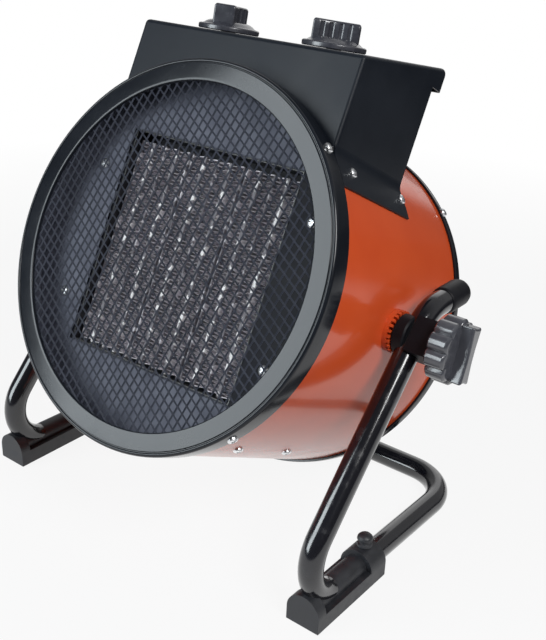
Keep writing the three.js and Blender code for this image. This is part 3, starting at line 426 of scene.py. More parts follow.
class Recipe:
    """One material's nodes."""

    def __init__(self, name: str, world: bool = False) -> None:
        """Starts an empty material, or an empty surrounding.

        Args:
            name: of the material or the surrounding.
            world: true for a surrounding.
        """
        self.material = (bpy.data.worlds if world else bpy.data.materials).new(name)
        self.material.use_nodes = True
        self.nodes = self.material.node_tree.nodes
        self.links = self.material.node_tree.links
        self.nodes.clear()

    def node(self, kind: str, settings: dict | None = None, inputs: dict | None = None,
             output: int | str = 0) -> Wire:
        """Adds one node.

        Args:
            kind: the node's type.
            settings: its properties.
            inputs: values or wires by socket name or number.
            output: which output the wire leaves from.

        Returns:
            The wire of that output.
        """
        made = self.nodes.new(kind)
        for key, value in (settings or {}).items():
            setattr(made, key, value)
        for key, value in (inputs or {}).items():
            socket = made.inputs[key]
            if isinstance(value, Wire):
                self.links.new(value.socket, socket)
            elif isinstance(value, tuple) and len(value) == 3 and socket.type == "RGBA":
                socket.default_value = (*value, 1)
            else:
                socket.default_value = value
        return Wire(self, made.outputs[output])

    def place(self, stretch: Triple = (1, 1, 1), turn: float = 0) -> Wire:
        """The point on the piece, stretched, and turned about X to follow the barrel.

        Args:
            stretch: scale along each axis.
            turn: angle about X in radians.

        Returns:
            A vector wire.
        """
        point = self.node("ShaderNodeTexCoord", output="Object")
        turned = self.node("ShaderNodeMapping", None, {"Vector": point, "Rotation": (turn, 0, 0)})
        return self.node("ShaderNodeMapping", None, {"Vector": turned, "Scale": stretch})

    def noise(self, size: float, detail: float = 3, stretch: Triple = (1, 1, 1), turn: float = 0
              ) -> Wire:
        """Soft noise round 0.5, whose features are about a size in metres across."""
        inputs = {"Vector": self.place(stretch, turn), "Scale": 1 / size, "Detail": detail}
        return self.node("ShaderNodeTexNoise", None, inputs)

    def blend(self, share: object, first: object, second: object) -> Wire:
        """Mixes two colours or wires, by the share of the second."""
        inputs = {0: share, 6: first, 7: second}
        return self.node("ShaderNodeMix", {"data_type": "RGBA"}, inputs, 2)

    def bump(self, height: Wire, distance: float, strength: float = 1) -> Wire:
        """A normal from a height of 0 to 1, where 1 stands for a distance in metres."""
        inputs = {"Height": height, "Distance": distance, "Strength": strength}
        return self.node("ShaderNodeBump", None, inputs)

    def finish(self, **sockets: object) -> bpy.types.Material:
        """Ends the material with a Principled surface, with _ for the spaces in a socket's name."""
        inputs = {key.replace("_", " "): value for key, value in sockets.items()}
        return self.ended(self.node("ShaderNodeBsdfPrincipled", None, inputs))

    def ended(self, surface: Wire, end: str = "Material") -> bpy.types.Material | bpy.types.World:
        """Joins a surface to the output.

        Args:
            surface: a shader wire.
            end: "Material", or "World" for a surrounding.

        Returns:
            The material or the surrounding.
        """
        output = self.nodes.new(f"ShaderNodeOutput{end}")
        self.links.new(surface.socket, output.inputs["Surface"])
        return self.material


@dataclass(frozen=True)
class GlossEnamel:
    """Stoved gloss enamel on rolled sheet: a clear coat with faint orange peel and handling haze."""

    name: str
    colour: Colour
    shade: Colour
    peel: float = 2.4 * MM

    def material(self) -> bpy.types.Material:
        """Makes the material."""
        recipe = Recipe(self.name)
        cloud = recipe.noise(60 * MM, 2)
        haze = recipe.noise(14 * MM, 5, (1, 0.25, 1)).between(0.45, 0.8)
        peel = recipe.noise(self.peel, 2)
        return recipe.finish(
            Base_Color=recipe.blend(cloud.between(0.3, 0.7), self.colour, self.shade),
            Roughness=haze * 0.08 + 0.2, Normal=recipe.bump(peel, 0.03 * MM, 0.5),
            Specular_IOR_Level=0.25, Coat_Weight=0.3, Coat_Roughness=0.06)


@dataclass(frozen=True)
class PowderCoat:
    """Satin powder coat: a fine pebbled skin with a little dust in soft clouds."""

    name: str
    colour: Colour
    dust: Colour
    roughness: float = 0.34
    pebble: float = 0.9 * MM
    gloss: float = 0.16
    coat: float = 0.0
    relief: float = 0.05 * MM

    def material(self) -> bpy.types.Material:
        """Makes the material."""
        recipe = Recipe(self.name)
        pebble = recipe.noise(self.pebble, 2)
        cloud = recipe.noise(35 * MM, 4).between(0.35, 0.75)
        grain = recipe.noise(0.5 * MM, 1).between(0.4, 0.7)
        tone = recipe.blend(cloud * 0.5 + grain * 0.15, self.colour, self.dust)
        return recipe.finish(
            Base_Color=tone, Roughness=cloud * 0.1 + grain * 0.04 + self.roughness,
            Normal=recipe.bump(pebble, self.relief, 0.5), Specular_IOR_Level=self.gloss,
            Coat_Weight=self.coat, Coat_Roughness=0.16)


@dataclass(frozen=True)
class GlossPaint:
    """Black gloss on bent tube, with soft ripples and a few rubbed places."""

    name: str
    colour: Colour
    rubbed: Colour
    roughness: float = 0.13

    def material(self) -> bpy.types.Material:
        """Makes the material."""
        recipe = Recipe(self.name)
        rub = recipe.noise(9 * MM, 6).between(0.56, 0.72)
        ripple = recipe.noise(4 * MM, 2)
        return recipe.finish(
            Base_Color=recipe.blend(rub * 0.35, self.colour, self.rubbed),
            Roughness=rub * 0.2 + self.roughness, Normal=recipe.bump(ripple, 0.04 * MM, 0.4),
            Coat_Weight=0.5, Coat_Roughness=0.08)


@dataclass(frozen=True)
class Moulding:
    """A plastic or rubber moulding with a spark eroded skin."""

    name: str
    colour: Colour
    worn: Colour
    roughness: float = 0.45
    grain: float = 0.45 * MM
    depth: float = 0.04 * MM
    coat: float = 0.0

    def material(self) -> bpy.types.Material:
        """Makes the material."""
        recipe = Recipe(self.name)
        skin = recipe.noise(self.grain, 2)
        cloud = recipe.noise(7 * MM, 5).between(0.4, 0.75)
        return recipe.finish(
            Base_Color=recipe.blend(cloud * 0.55 + skin * 0.12, self.colour, self.worn),
            Roughness=cloud * 0.14 + self.roughness, Normal=recipe.bump(skin, self.depth, 0.6),
            Coat_Weight=self.coat, Coat_Roughness=0.2)


@dataclass(frozen=True)
class BareMetal:
    """Bare or plated metal with fine lines along one axis and darker clouds."""

    name: str
    colour: Colour
    dull: Colour
    roughness: float = 0.3
    metallic: float = 1.0
    lines: Triple = (1, 1, 12)
    line_size: float = 1.6 * MM

    def material(self) -> bpy.types.Material:
        """Makes the material."""
        recipe = Recipe(self.name)
        cloud = recipe.noise(12 * MM, 5).between(0.35, 0.7)
        lines = recipe.noise(self.line_size, 3, self.lines)
        return recipe.finish(
            Base_Color=recipe.blend(cloud * 0.7, self.colour, self.dull), Metallic=self.metallic,
            Roughness=lines * 0.16 + cloud * 0.1 + self.roughness,
            Normal=recipe.bump(lines, 0.03 * MM, 0.5))


@dataclass(frozen=True)
class HeaterStone:
    """Flat ceramic heater bars, whose pale cement shows in dashes between the fins."""

    name: str
    stone: Colour
    cement: Colour
    scarce: float

    def material(self) -> bpy.types.Material:
        """Makes the material."""
        recipe = Recipe(self.name)
        dash = recipe.noise(4.6 * MM, 1.5, (1, 0.3, 1), TILT).between(self.scarce, self.scarce + 0.03)
        crumb = recipe.noise(1.1 * MM, 3)
        return recipe.finish(
            Base_Color=recipe.blend(dash, self.stone, self.cement), Roughness=crumb * 0.3 + 0.4,
            Normal=recipe.bump(dash * 0.6 + crumb * 0.4, 0.25 * MM, 0.8))


@dataclass(frozen=True)
class StudioPaper:
    """A pale floor with a painted pool of light round the object, lighter there and glowing for
    reflections only there, that still takes its shadow.
    """

    name: str
    colour: Colour
    beyond: Colour
    # the reach in metres over which the painted pool of light fades out
    pool: tuple[float, float] = (0.5, 1.0)
    shadow: float = 0.1

    def material(self) -> bpy.types.Material:
        """Makes the material."""
        recipe = Recipe(self.name)
        camera, glossy, transmission = (
            recipe.node("ShaderNodeLightPath", output=f"Is {kind} Ray")
            for kind in ("Camera", "Glossy", "Transmission"))
        spot = recipe.place()
        reach = recipe.node("ShaderNodeVectorMath", {"operation": "LENGTH"}, {0: spot}, "Value")
        near = 1 - reach.between(*self.pool)
        # the paper's colour is painted lighter near the object: a painted pool of light
        paper = recipe.node("ShaderNodeBsdfPrincipled", None, {
            "Base Color": recipe.blend(near, self.beyond, self.colour),
            "Roughness": recipe.noise(3 * MM) * 0.1 + 0.8, "Specular IOR Level": 0.1})
        glow = recipe.node("ShaderNodeEmission", None, {"Color": (1.0, 1.0, 1.0), "Strength": 1.0})
        # glossy and transmission rays see the floor glow only near the object: a painted reflection of
        # a lit floor
        share = camera * (1 - near * self.shadow) + (glossy + transmission) * near
        return recipe.ended(recipe.node("ShaderNodeMixShader", None, {0: share, 1: paper, 2: glow}))


class Finish(Enum):
    """Every finish on the heater, and the floor's."""

    ORANGE_ENAMEL = GlossEnamel("orange_enamel", (0.6, 0.082, 0.02), (0.53, 0.066, 0.016))
    BLACK_POWDER = PowderCoat("black_powder_coat", (0.006, 0.008, 0.012), (0.013, 0.016, 0.022),
                              relief=0.03 * MM)
    RING_POWDER = PowderCoat("ring_powder_coat", (0.006, 0.0075, 0.0105), (0.012, 0.014, 0.019), 0.1,
                             gloss=0.18, coat=0.18, relief=0.006 * MM)
    # near black paint that stands in for shade: the plate's bay right of the element and the element's
    # end strips (painted shade)
    BAY_PAINT = PowderCoat("bay_paint", (0.007, 0.0075, 0.011), (0.016, 0.017, 0.026), 0.5)
    GRILLE_STEEL = PowderCoat("grille_steel", (0.014, 0.016, 0.024), (0.035, 0.039, 0.055), 0.45)
    BLACK_GLOSS = GlossPaint("black_gloss_paint", (0.006, 0.0062, 0.009), (0.014, 0.0145, 0.019), 0.16)
    BLACK_PLASTIC = Moulding("black_plastic", (0.007, 0.007, 0.009), (0.016, 0.016, 0.02), 0.3,
                             coat=0.15)
    DIAL_PLASTIC = Moulding("dial_plastic", (0.024, 0.025, 0.032), (0.05, 0.052, 0.064), 0.22,
                            coat=0.3)
    CLAMP_PLASTIC = Moulding("clamp_plastic", (0.05, 0.052, 0.062), (0.08, 0.083, 0.095), 0.14,
                             coat=0.5)
    DARK_RUBBER = Moulding("dark_rubber", (0.01, 0.011, 0.014), (0.026, 0.028, 0.034), 0.45,
                           grain=0.8 * MM, depth=0.08 * MM)
    SATIN_BLACK = PowderCoat("satin_black", (0.005, 0.0052, 0.007), (0.01, 0.0105, 0.014), 0.42)
    DARK_STEEL = BareMetal("dark_steel", (0.115, 0.123, 0.162), (0.064, 0.07, 0.1), 0.5, 0.1)
    MOTOR_STEEL = BareMetal("motor_steel", (0.32, 0.33, 0.35), (0.15, 0.155, 0.17), 0.35, 0.9)
    FINS = BareMetal("fin_aluminium", (0.95, 0.9, 0.95), (0.62, 0.57, 0.63), 0.42, 0.15, (1, 6, 1))
    STONE = HeaterStone("heater_stone", (0.17, 0.16, 0.18), (0.95, 0.93, 0.93), 0.55)
    SPACER = HeaterStone("heater_spacer", (0.14, 0.13, 0.15), (0.62, 0.6, 0.64), 0.55)
    ZINC = BareMetal("zinc", (0.86, 0.87, 0.88), (0.62, 0.63, 0.66), 0.18, 1.0, (1, 1, 3))
    PALE_PLASTIC = Moulding("pale_plastic", (0.72, 0.68, 0.58), (0.6, 0.56, 0.47), 0.45)
    # the pale colour near the object and the dark colour beyond make the floor's painted pool of light
    FLOOR = StudioPaper("studio_floor", (0.4, 0.4, 0.41), (0.05, 0.05, 0.055))


class Wardrobe:
    """Makes each finish once and hands it out."""

    made: ClassVar[dict[Finish, bpy.types.Material]] = {}

    @classmethod
    def material(cls, finish: Finish) -> bpy.types.Material:
        """The material of a finish."""
        if finish not in cls.made:
            cls.made[finish] = finish.value.material()
        return cls.made[finish]

    @classmethod
    def dress(cls, piece: Piece, *finishes: Finish) -> Piece:
        """Gives a piece its finishes, in the order of its material slots.

        Args:
            piece: the object.
            finishes: the first covers all of it unless its faces say otherwise.

        Returns:
            The piece.
        """
        piece.data.materials.clear()
        for finish in finishes:
            piece.data.materials.append(cls.material(finish))
        return piece


def fitted(piece: Piece, body: str, finish: Finish, nodes: Iterable[str] = (),
           smooth_below: float = 35) -> Piece:
    """Shades, dresses and mounts a finished piece, and reports it.

    Args:
        piece: the object, with its place in its mesh.
        body: the CAD body it rides on.
        finish: what it is dressed in.
        nodes: the CAD nodes it stands for.
        smooth_below: the edge angle in degrees that is still shaded smoothly.

    Returns:
        The piece.
    """
    if piece.data.materials and piece.data.materials[0]:
        piece.data.materials[0] = Wardrobe.material(finish)
    else:
        Wardrobe.dress(piece, finish)
    Bench.smooth(piece, smooth_below)
    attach(piece, body)
    if nodes:
        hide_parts(*nodes)
    LOG.info("%s: %d faces on %s", piece.name, len(piece.data.polygons), body)
    return piece


# ---------------------------------------------------------------- small fasteners


@dataclass
class PanScrew:
    """A pan head machine screw with a cross recess, seen from its head only."""

    head_radius: float = 3.3 * MM
    head_height: float = 2.1 * MM
    slot_width: float = 0.8 * MM
    slot_length: float = 3.6 * MM
    slot_depth: float = 1.2 * MM
    sunk: float = 0.4 * MM
    dome: Spots = ((1, 0.25), (0.95, 0.6), (0.78, 0.85), (0.45, 0.98), (0.1, 1))
    sides: int = 28

    def model(self) -> Piece:
        """The head with its seat at the origin, pointing along Z."""
        r, h = self.head_radius, self.head_height
        profile = [(r, -self.sunk)] + [(r * across, h * up) for across, up in self.dome]
        head = Bench.turned("screw_head", profile, self.sides)
        for turn in (0, math.pi / 2):
            size = Vector((self.slot_length, self.slot_width, 2 * self.slot_depth)) / 2
            tool = Bench.block("recess", -size, size)
            Bench.moved(tool, Matrix.Translation((0, 0, h)) @ Matrix.Rotation(turn, 4, "Z"))
            Bench.combine(head, tool)
        return head

    def set_of(self, name: str, places: list[Matrix], body: str) -> Piece:
        """Copies of the screw at several places, as one piece.

        Args:
            name: the piece's name.
            places: where each seat goes.
            body: the CAD body they ride on.

        Returns:
            The piece.
        """
        model = self.model()
        copies = [Bench.copied(model, f"{name}_{i}", place) for i, place in enumerate(places)]
        bpy.data.objects.remove(model)
        return fitted(Bench.joined(name, copies), body, Finish.ZINC)


def outward(angle: float, radius: float, along: float) -> Matrix:
    """A place on the barrel's surface, in the barrel's frame, facing straight out.

    Args:
        angle: from the X axis towards Z.
        radius: of the surface.
        along: the place along the barrel.

    Returns:
        The place, with Z pointing out.
    """
    spot = Vector((radius * math.cos(angle), along, radius * math.sin(angle)))
    out = Vector((math.cos(angle), 0, math.sin(angle)))
    return Matrix.Translation(spot) @ out.to_track_quat("Z", "Y").to_matrix().to_4x4()


# ---------------------------------------------------------------- barrel


@dataclass
class Barrel:
    """The rolled shell, its two pressed rings and the screws in their bands."""

    shell_radius: float = 124 * MM
    shell_wall: float = 1.2 * MM
    front: float = -92 * MM
    rear: float = 88 * MM
    ring_radius: float = 125.8 * MM
    opening_radius: float = 111 * MM
    ring_sheet: float = 1.5 * MM
    front_depth: float = 15 * MM
    rear_depth: float = 8 * MM
    grille_seat: float = 3.4 * MM
    ring_inside: Spots = in_mm((0, 2.3), (0, 0.6), (0.25, 0.2), (0.7, 0.04), (2, 0))
    ring_outside: Spots = in_mm(
        (-3.7, 0.05), (-3.3, 0.25), (-3.05, 0.85), (-2.75, 0.85), (-2.5, 0.35), (-2, 0.1),
        (-1.4, 0.15), (-0.7, 0.55), (-0.25, 1.2), (0, 2.1))
    ring_return: Spots = in_mm((-1.5, 2.9), (-2.6, 2.4))
    screw_shares: tuple[float, float] = (0.62, 0.55)
    band_screws: tuple[float, ...] = tuple(math.radians(a) for a in (45, 135, 225, 315))
    belly_screws: tuple[float, ...] = tuple(math.radians(a) for a in (-54, -126))
    bracket_rows: tuple[float, float] = (-49 * MM, 8 * MM)

    def shell(self) -> Piece:
        """The rolled tube, enamelled outside and bare inside."""
        r, bore = self.shell_radius, self.shell_radius - self.shell_wall
        front, rear = self.front + self.grille_seat, self.rear - self.grille_seat
        tube = Bench.turned("body_shell_skin", [(r, front), (r, rear), (bore, rear), (bore, front)],
                            160, ring=True)
        Bench.moved(tube, ALONG_Y)
        Wardrobe.dress(tube, Finish.ORANGE_ENAMEL, Finish.DARK_STEEL)
        Bench.paint(tube, 1, lambda middle, normal: normal.x * middle.x + normal.z * middle.z < 0)
        Bench.moved(tube, BARREL_FRAME)
        return fitted(tube, "heater", Finish.ORANGE_ENAMEL, ["body_shell"])

    def ring(self, name: str, depth: float, face: float, flip: bool) -> Piece:
        """A pressed channel ring with a flat face, and a groove and a bead near its edge.

        Args:
            name: the CAD node it stands for.
            depth: of its band.
            face: the place of its face along the barrel.
            flip: true for the rear ring, whose face looks the other way.

        Returns:
            The piece.
        """
        inner, outer, sheet = self.opening_radius, self.ring_radius, self.ring_sheet
        profile = [(inner + across, along) for across, along in self.ring_inside]
        profile += [(outer + across, along) for across, along in self.ring_outside]
        profile += [(outer, depth - 0.5 * MM), (outer - 0.4 * MM, depth), (outer - sheet, depth)]
        profile += [(outer + across, along) for across, along in self.ring_return]
        ring = Bench.turned(f"{name}_pressing", profile, 160, ring=True)
        Bench.moved(ring, ALONG_Y)
        place = Matrix.Translation((0, face, 0)) @ (Matrix.Rotation(math.pi, 4, "X") if flip else STILL)
        Bench.moved(ring, BARREL_FRAME @ place)
        return fitted(ring, "heater", Finish.RING_POWDER, [name], 50)

    def build(self) -> None:
        """Makes the shell, both rings and their screws."""
        self.shell()
        self.ring("front_ring", self.front_depth, self.front, False)
        self.ring("rear_ring", self.rear_depth, self.rear, True)
        near, far = self.screw_shares
        spots = [(angle, self.front + near * self.front_depth) for angle in self.band_screws]
        spots += [(angle, self.rear - far * self.rear_depth) for angle in self.band_screws]
        places = [BARREL_FRAME @ outward(angle, self.ring_radius, along) for angle, along in spots]
        PanScrew().set_of("ring_screws", places, "heater")
        spots = [(angle, along) for angle in self.belly_screws for along in self.bracket_rows]
        places = [BARREL_FRAME @ outward(angle, self.shell_radius, along) for angle, along in spots]
        PanScrew().set_of("belly_screws", places, "heater")


@dataclass
class MeshSheet:
    """Expanded metal: bonds in a diamond pattern with twisted strands between them."""

    name: str
    middle: float
    cell: tuple[float, float] = (6.9 * MM, 9.1 * MM)
    strand: float = 1.05 * MM
    sheet: float = 0.6 * MM
    bond: float = 2.4 * MM
    twist: float = math.radians(24)
    lean: float = math.radians(22)
    radius: float = 122.5 * MM

    def unit(self) -> Piece:
        """One bond with its four half strands, in the plane of X and Z."""
        wide, high = self.cell
        half = Vector((self.strand * 0.7, self.sheet / 2, self.bond / 2))
        pieces = [Bench.block("bond", -half, half)]
        reach = Vector((wide / 2, 0, high / 2))
        length = reach.length
        for column, row in ((1, 1), (1, -1), (-1, 1), (-1, -1)):
            size = Vector((length / 2, self.sheet, self.strand)) / 2
            arm = Bench.block("strand", -size, size)
            Bench.edit(arm)
            Bench.pick(arm, Part.FACE, lambda middle, normal: abs(normal.x) > 0.9)
            bpy.ops.mesh.delete(type="FACE")
            Bench.close()
            lean = math.atan2(high * row, wide * column)
            twist = Matrix.Rotation(self.twist * row, 4, "X")
            aim = Matrix.Rotation(-lean, 4, "Y")
            shift = Matrix.Translation((column * wide / 8, 0, row * high / 8))
            pieces.append(Bench.moved(arm, shift @ aim @ twist))
        return Bench.joined("unit", pieces)

    def build(self, body: str) -> Piece:
        """Repeats the unit over a square, keeps what lies in the circle and mounts it.

        Args:
            body: the CAD body it rides on.

        Returns:
            The piece.
        """
        wide, high = self.cell
        first = self.unit()
        second = Bench.copied(first, "unit_between", Matrix.Translation((wide / 2, 0, high / 2)))
        sheet = Bench.joined("mesh_unit", [first, second])
        columns, rows = (math.ceil(2 * self.radius / size) for size in (wide, high))
        Bench.moved(sheet, Matrix.Translation((-columns * wide / 2, self.middle, -rows * high / 2)))
        Bench.use(sheet, "ARRAY", count=columns, use_relative_offset=False, use_constant_offset=True,
                  constant_offset_displace=(wide, 0, 0))
        Bench.use(sheet, "ARRAY", count=rows, use_relative_offset=False, use_constant_offset=True,
                  constant_offset_displace=(0, 0, high))
        Bench.moved(sheet, Matrix.Rotation(-self.lean, 4, "Y"))
        Bench.edit(sheet)
        Bench.pick(sheet, Part.FACE, lambda middle, normal: (
            math.hypot(middle.x, middle.z) > self.radius))
        bpy.ops.mesh.delete(type="VERT")
        Bench.close()
        sheet.name = f"{self.name}_mesh"
        Bench.moved(sheet, BARREL_FRAME)
        return fitted(sheet, body, Finish.GRILLE_STEEL, [self.name], 20)


# ---------------------------------------------------------------- heating element


@dataclass
class Element:
    """The plate with its folded collar and a bay painted near black as painted shade, and three modules
    of bars and fins.
    """

    plate_front: float = -72 * MM
    plate_sheet: float = 1.2 * MM
    plate_radius: float = 122.3 * MM
    opening: tuple[float, float] = (142 * MM, 148 * MM)
    collar_depth: float = 9 * MM
    fin_front: float = -65 * MM
    depth: float = 20 * MM
    size: tuple[float, float] = (138 * MM, 146 * MM)
    modules: int = 3
    columns: int = 4
    gap: float = 0.6 * MM
    bar: float = 2.5 * MM
    bar_proud: float = 0.3 * MM
    spacer: float = 1.2 * MM
    spacer_proud: float = 0.1 * MM
    end_strip: float = 4.6 * MM
    foot_strip: float = 0.8 * MM
    strip_depth: float = 9 * MM
    fin_sheet: float = 0.6 * MM
    fold: float = 1.2 * MM
    screw_spot: tuple[float, float] = (88 * MM, 46 * MM)
    screw_radius: float = 3.6 * MM

    def plate(self) -> Piece:
        """The round plate, painted near black right of its square hole as painted shade, and the collar
        round the hole.
        """
        back = self.plate_front + self.plate_sheet
        plate = Bench.bar("plate", self.plate_radius, (0, self.plate_front, 0), (0, back, 0), 128)
        wide, high = self.opening[0] / 2, self.opening[1] / 2
        hole = Bench.block("hole", (-wide, self.plate_front - MM, -high), (wide, back + MM, high))
        Bench.combine(plate, hole)
        collar = Bench.block("collar", (-wide, self.plate_front, -high),
                             (wide, self.plate_front + self.collar_depth, high))
        Bench.edit(collar)
        Bench.pick(collar, Part.FACE, lambda middle, normal: abs(normal.y) > 0.9)
        bpy.ops.mesh.delete(type="FACE")
        Bench.close()
        Bench.use(collar, "SOLIDIFY", thickness=self.plate_sheet, offset=1)
        Bench.edit(plate)
        bpy.ops.mesh.bisect(plane_co=(wide, 0, 0), plane_no=(1, 0, 0))
        for edge in (high, -high):
            bpy.ops.mesh.select_all(action="SELECT")
            bpy.ops.mesh.bisect(plane_co=(0, 0, edge), plane_no=(0, 0, 1))
        Bench.close()
        piece = Bench.joined("baffle_plate_pressing", [plate, collar])
        # the plate's faces right of the hole get the near black finish: painted shade for the dark bay
        # beside the element
        Wardrobe.dress(piece, Finish.DARK_STEEL, Finish.BAY_PAINT)
        Bench.paint(piece, 1, lambda middle, normal: middle.x > wide and abs(middle.z) < high)
        Bench.moved(piece, BARREL_FRAME)
        return fitted(piece, "heater", Finish.DARK_STEEL, ["baffle_plate"])

    def fins(self, name: str, left: float, width: float) -> Piece:
        """One column's folded fin: a ribbon whose every second row is pulled across.

        Args:
            name: the object's name.
            left: the near bar's face.
            width: between the two bars.

        Returns:
            The ribbon, in the barrel's frame.
        """
        high = self.size[1] - self.end_strip - self.foot_strip
        folds = round(high / self.fold)
        Bench.clear()
        bpy.ops.mesh.primitive_grid_add(
            x_subdivisions=folds, y_subdivisions=1, size=1, rotation=(0, -math.pi / 2, 0),
            location=(left, self.fin_front + self.depth / 2, 0))
        bpy.context.active_object.scale = (high - self.fin_sheet, self.depth - MM, 1)
        ribbon = Bench.named(name)
        step = (high - self.fin_sheet) / folds
        Bench.edit(ribbon, everything=False)
        Bench.pick(ribbon, Part.VERT, lambda spot: round((spot.z + high / 2) / step) % 2 == 1)
        bpy.ops.transform.translate(value=(width, 0, 0))
        Bench.close()
        Bench.moved(ribbon, Matrix.Translation((0, 0, (self.foot_strip - self.end_strip) / 2)))
        return Bench.use(ribbon, "SOLIDIFY", thickness=self.fin_sheet, offset=0)

    def module(self, number: int) -> None:
        """One module: folded fins, heater bars with thin spacers between, and two end strips painted
        near black as painted shade.
        """
        width = (self.size[0] - self.gap * (self.modules - 1)) / self.modules
        pitch = (width - self.bar) / self.columns
        start = (number - (self.modules - 1) / 2) * (width + self.gap) - width / 2
        high = self.size[1] / 2
        rear = self.fin_front + self.depth
        heaters: list[Piece] = []
        spacers: list[Piece] = []
        strips: list[Piece] = []
        fins: list[Piece] = []
        for i in range(self.columns + 1):
            middle = start + self.bar / 2 + i * pitch
            heats = i % 2 == 1
            wide, proud = (self.bar, self.bar_proud) if heats else (self.spacer, self.spacer_proud)
            half = wide / 2
            bar = Bench.block(f"bar_{i}", (middle - half, self.fin_front - proud, -high),
                              (middle + half, rear, high - self.end_strip))
            (heaters if heats else spacers).append(bar)
            if i < self.columns:
                next_half = (self.spacer if heats else self.bar) / 2
                fins.append(self.fins(f"fin_{i}", middle + half, pitch - half - next_half))
        # the end strips are painted near black: painted shade for the dark gap along the element's top
        # and bottom
        for low, top in ((-high, self.foot_strip - high), (high - self.end_strip, high)):
            strips.append(Bench.block("strip", (start, self.fin_front + self.strip_depth, low),
                                      (start + width, rear, top)))
        title = f"element_module_{number + 1}"
        for bars, word, finish in (
                (heaters, "heaters", Finish.STONE), (spacers, "spacers", Finish.SPACER),
                (strips, "strips", Finish.BAY_PAINT)):
            piece = Bench.eased(Bench.joined(f"{title}_{word}", bars), 0.15 * MM, 1)
            fitted(Bench.moved(piece, BARREL_FRAME), "heater", finish)
        folded = Bench.joined(f"{title}_fins", fins)
        fitted(Bench.moved(folded, BARREL_FRAME), "heater", Finish.FINS, [title], 10)

    def build(self) -> None:
        """Makes the plate, the modules and the plate's screws."""
        self.plate()
        for number in range(self.modules):
            self.module(number)
        facing = Matrix.Rotation(math.pi / 2, 4, "X")
        across, up = self.screw_spot
        places = [BARREL_FRAME @ Matrix.Translation((x * across, self.plate_front, z * up)) @ facing
                  for x in (1, -1) for z in (1, -1)]
        PanScrew(head_radius=self.screw_radius).set_of("plate_screws", places, "heater")


# ---------------------------------------------------------------- control box


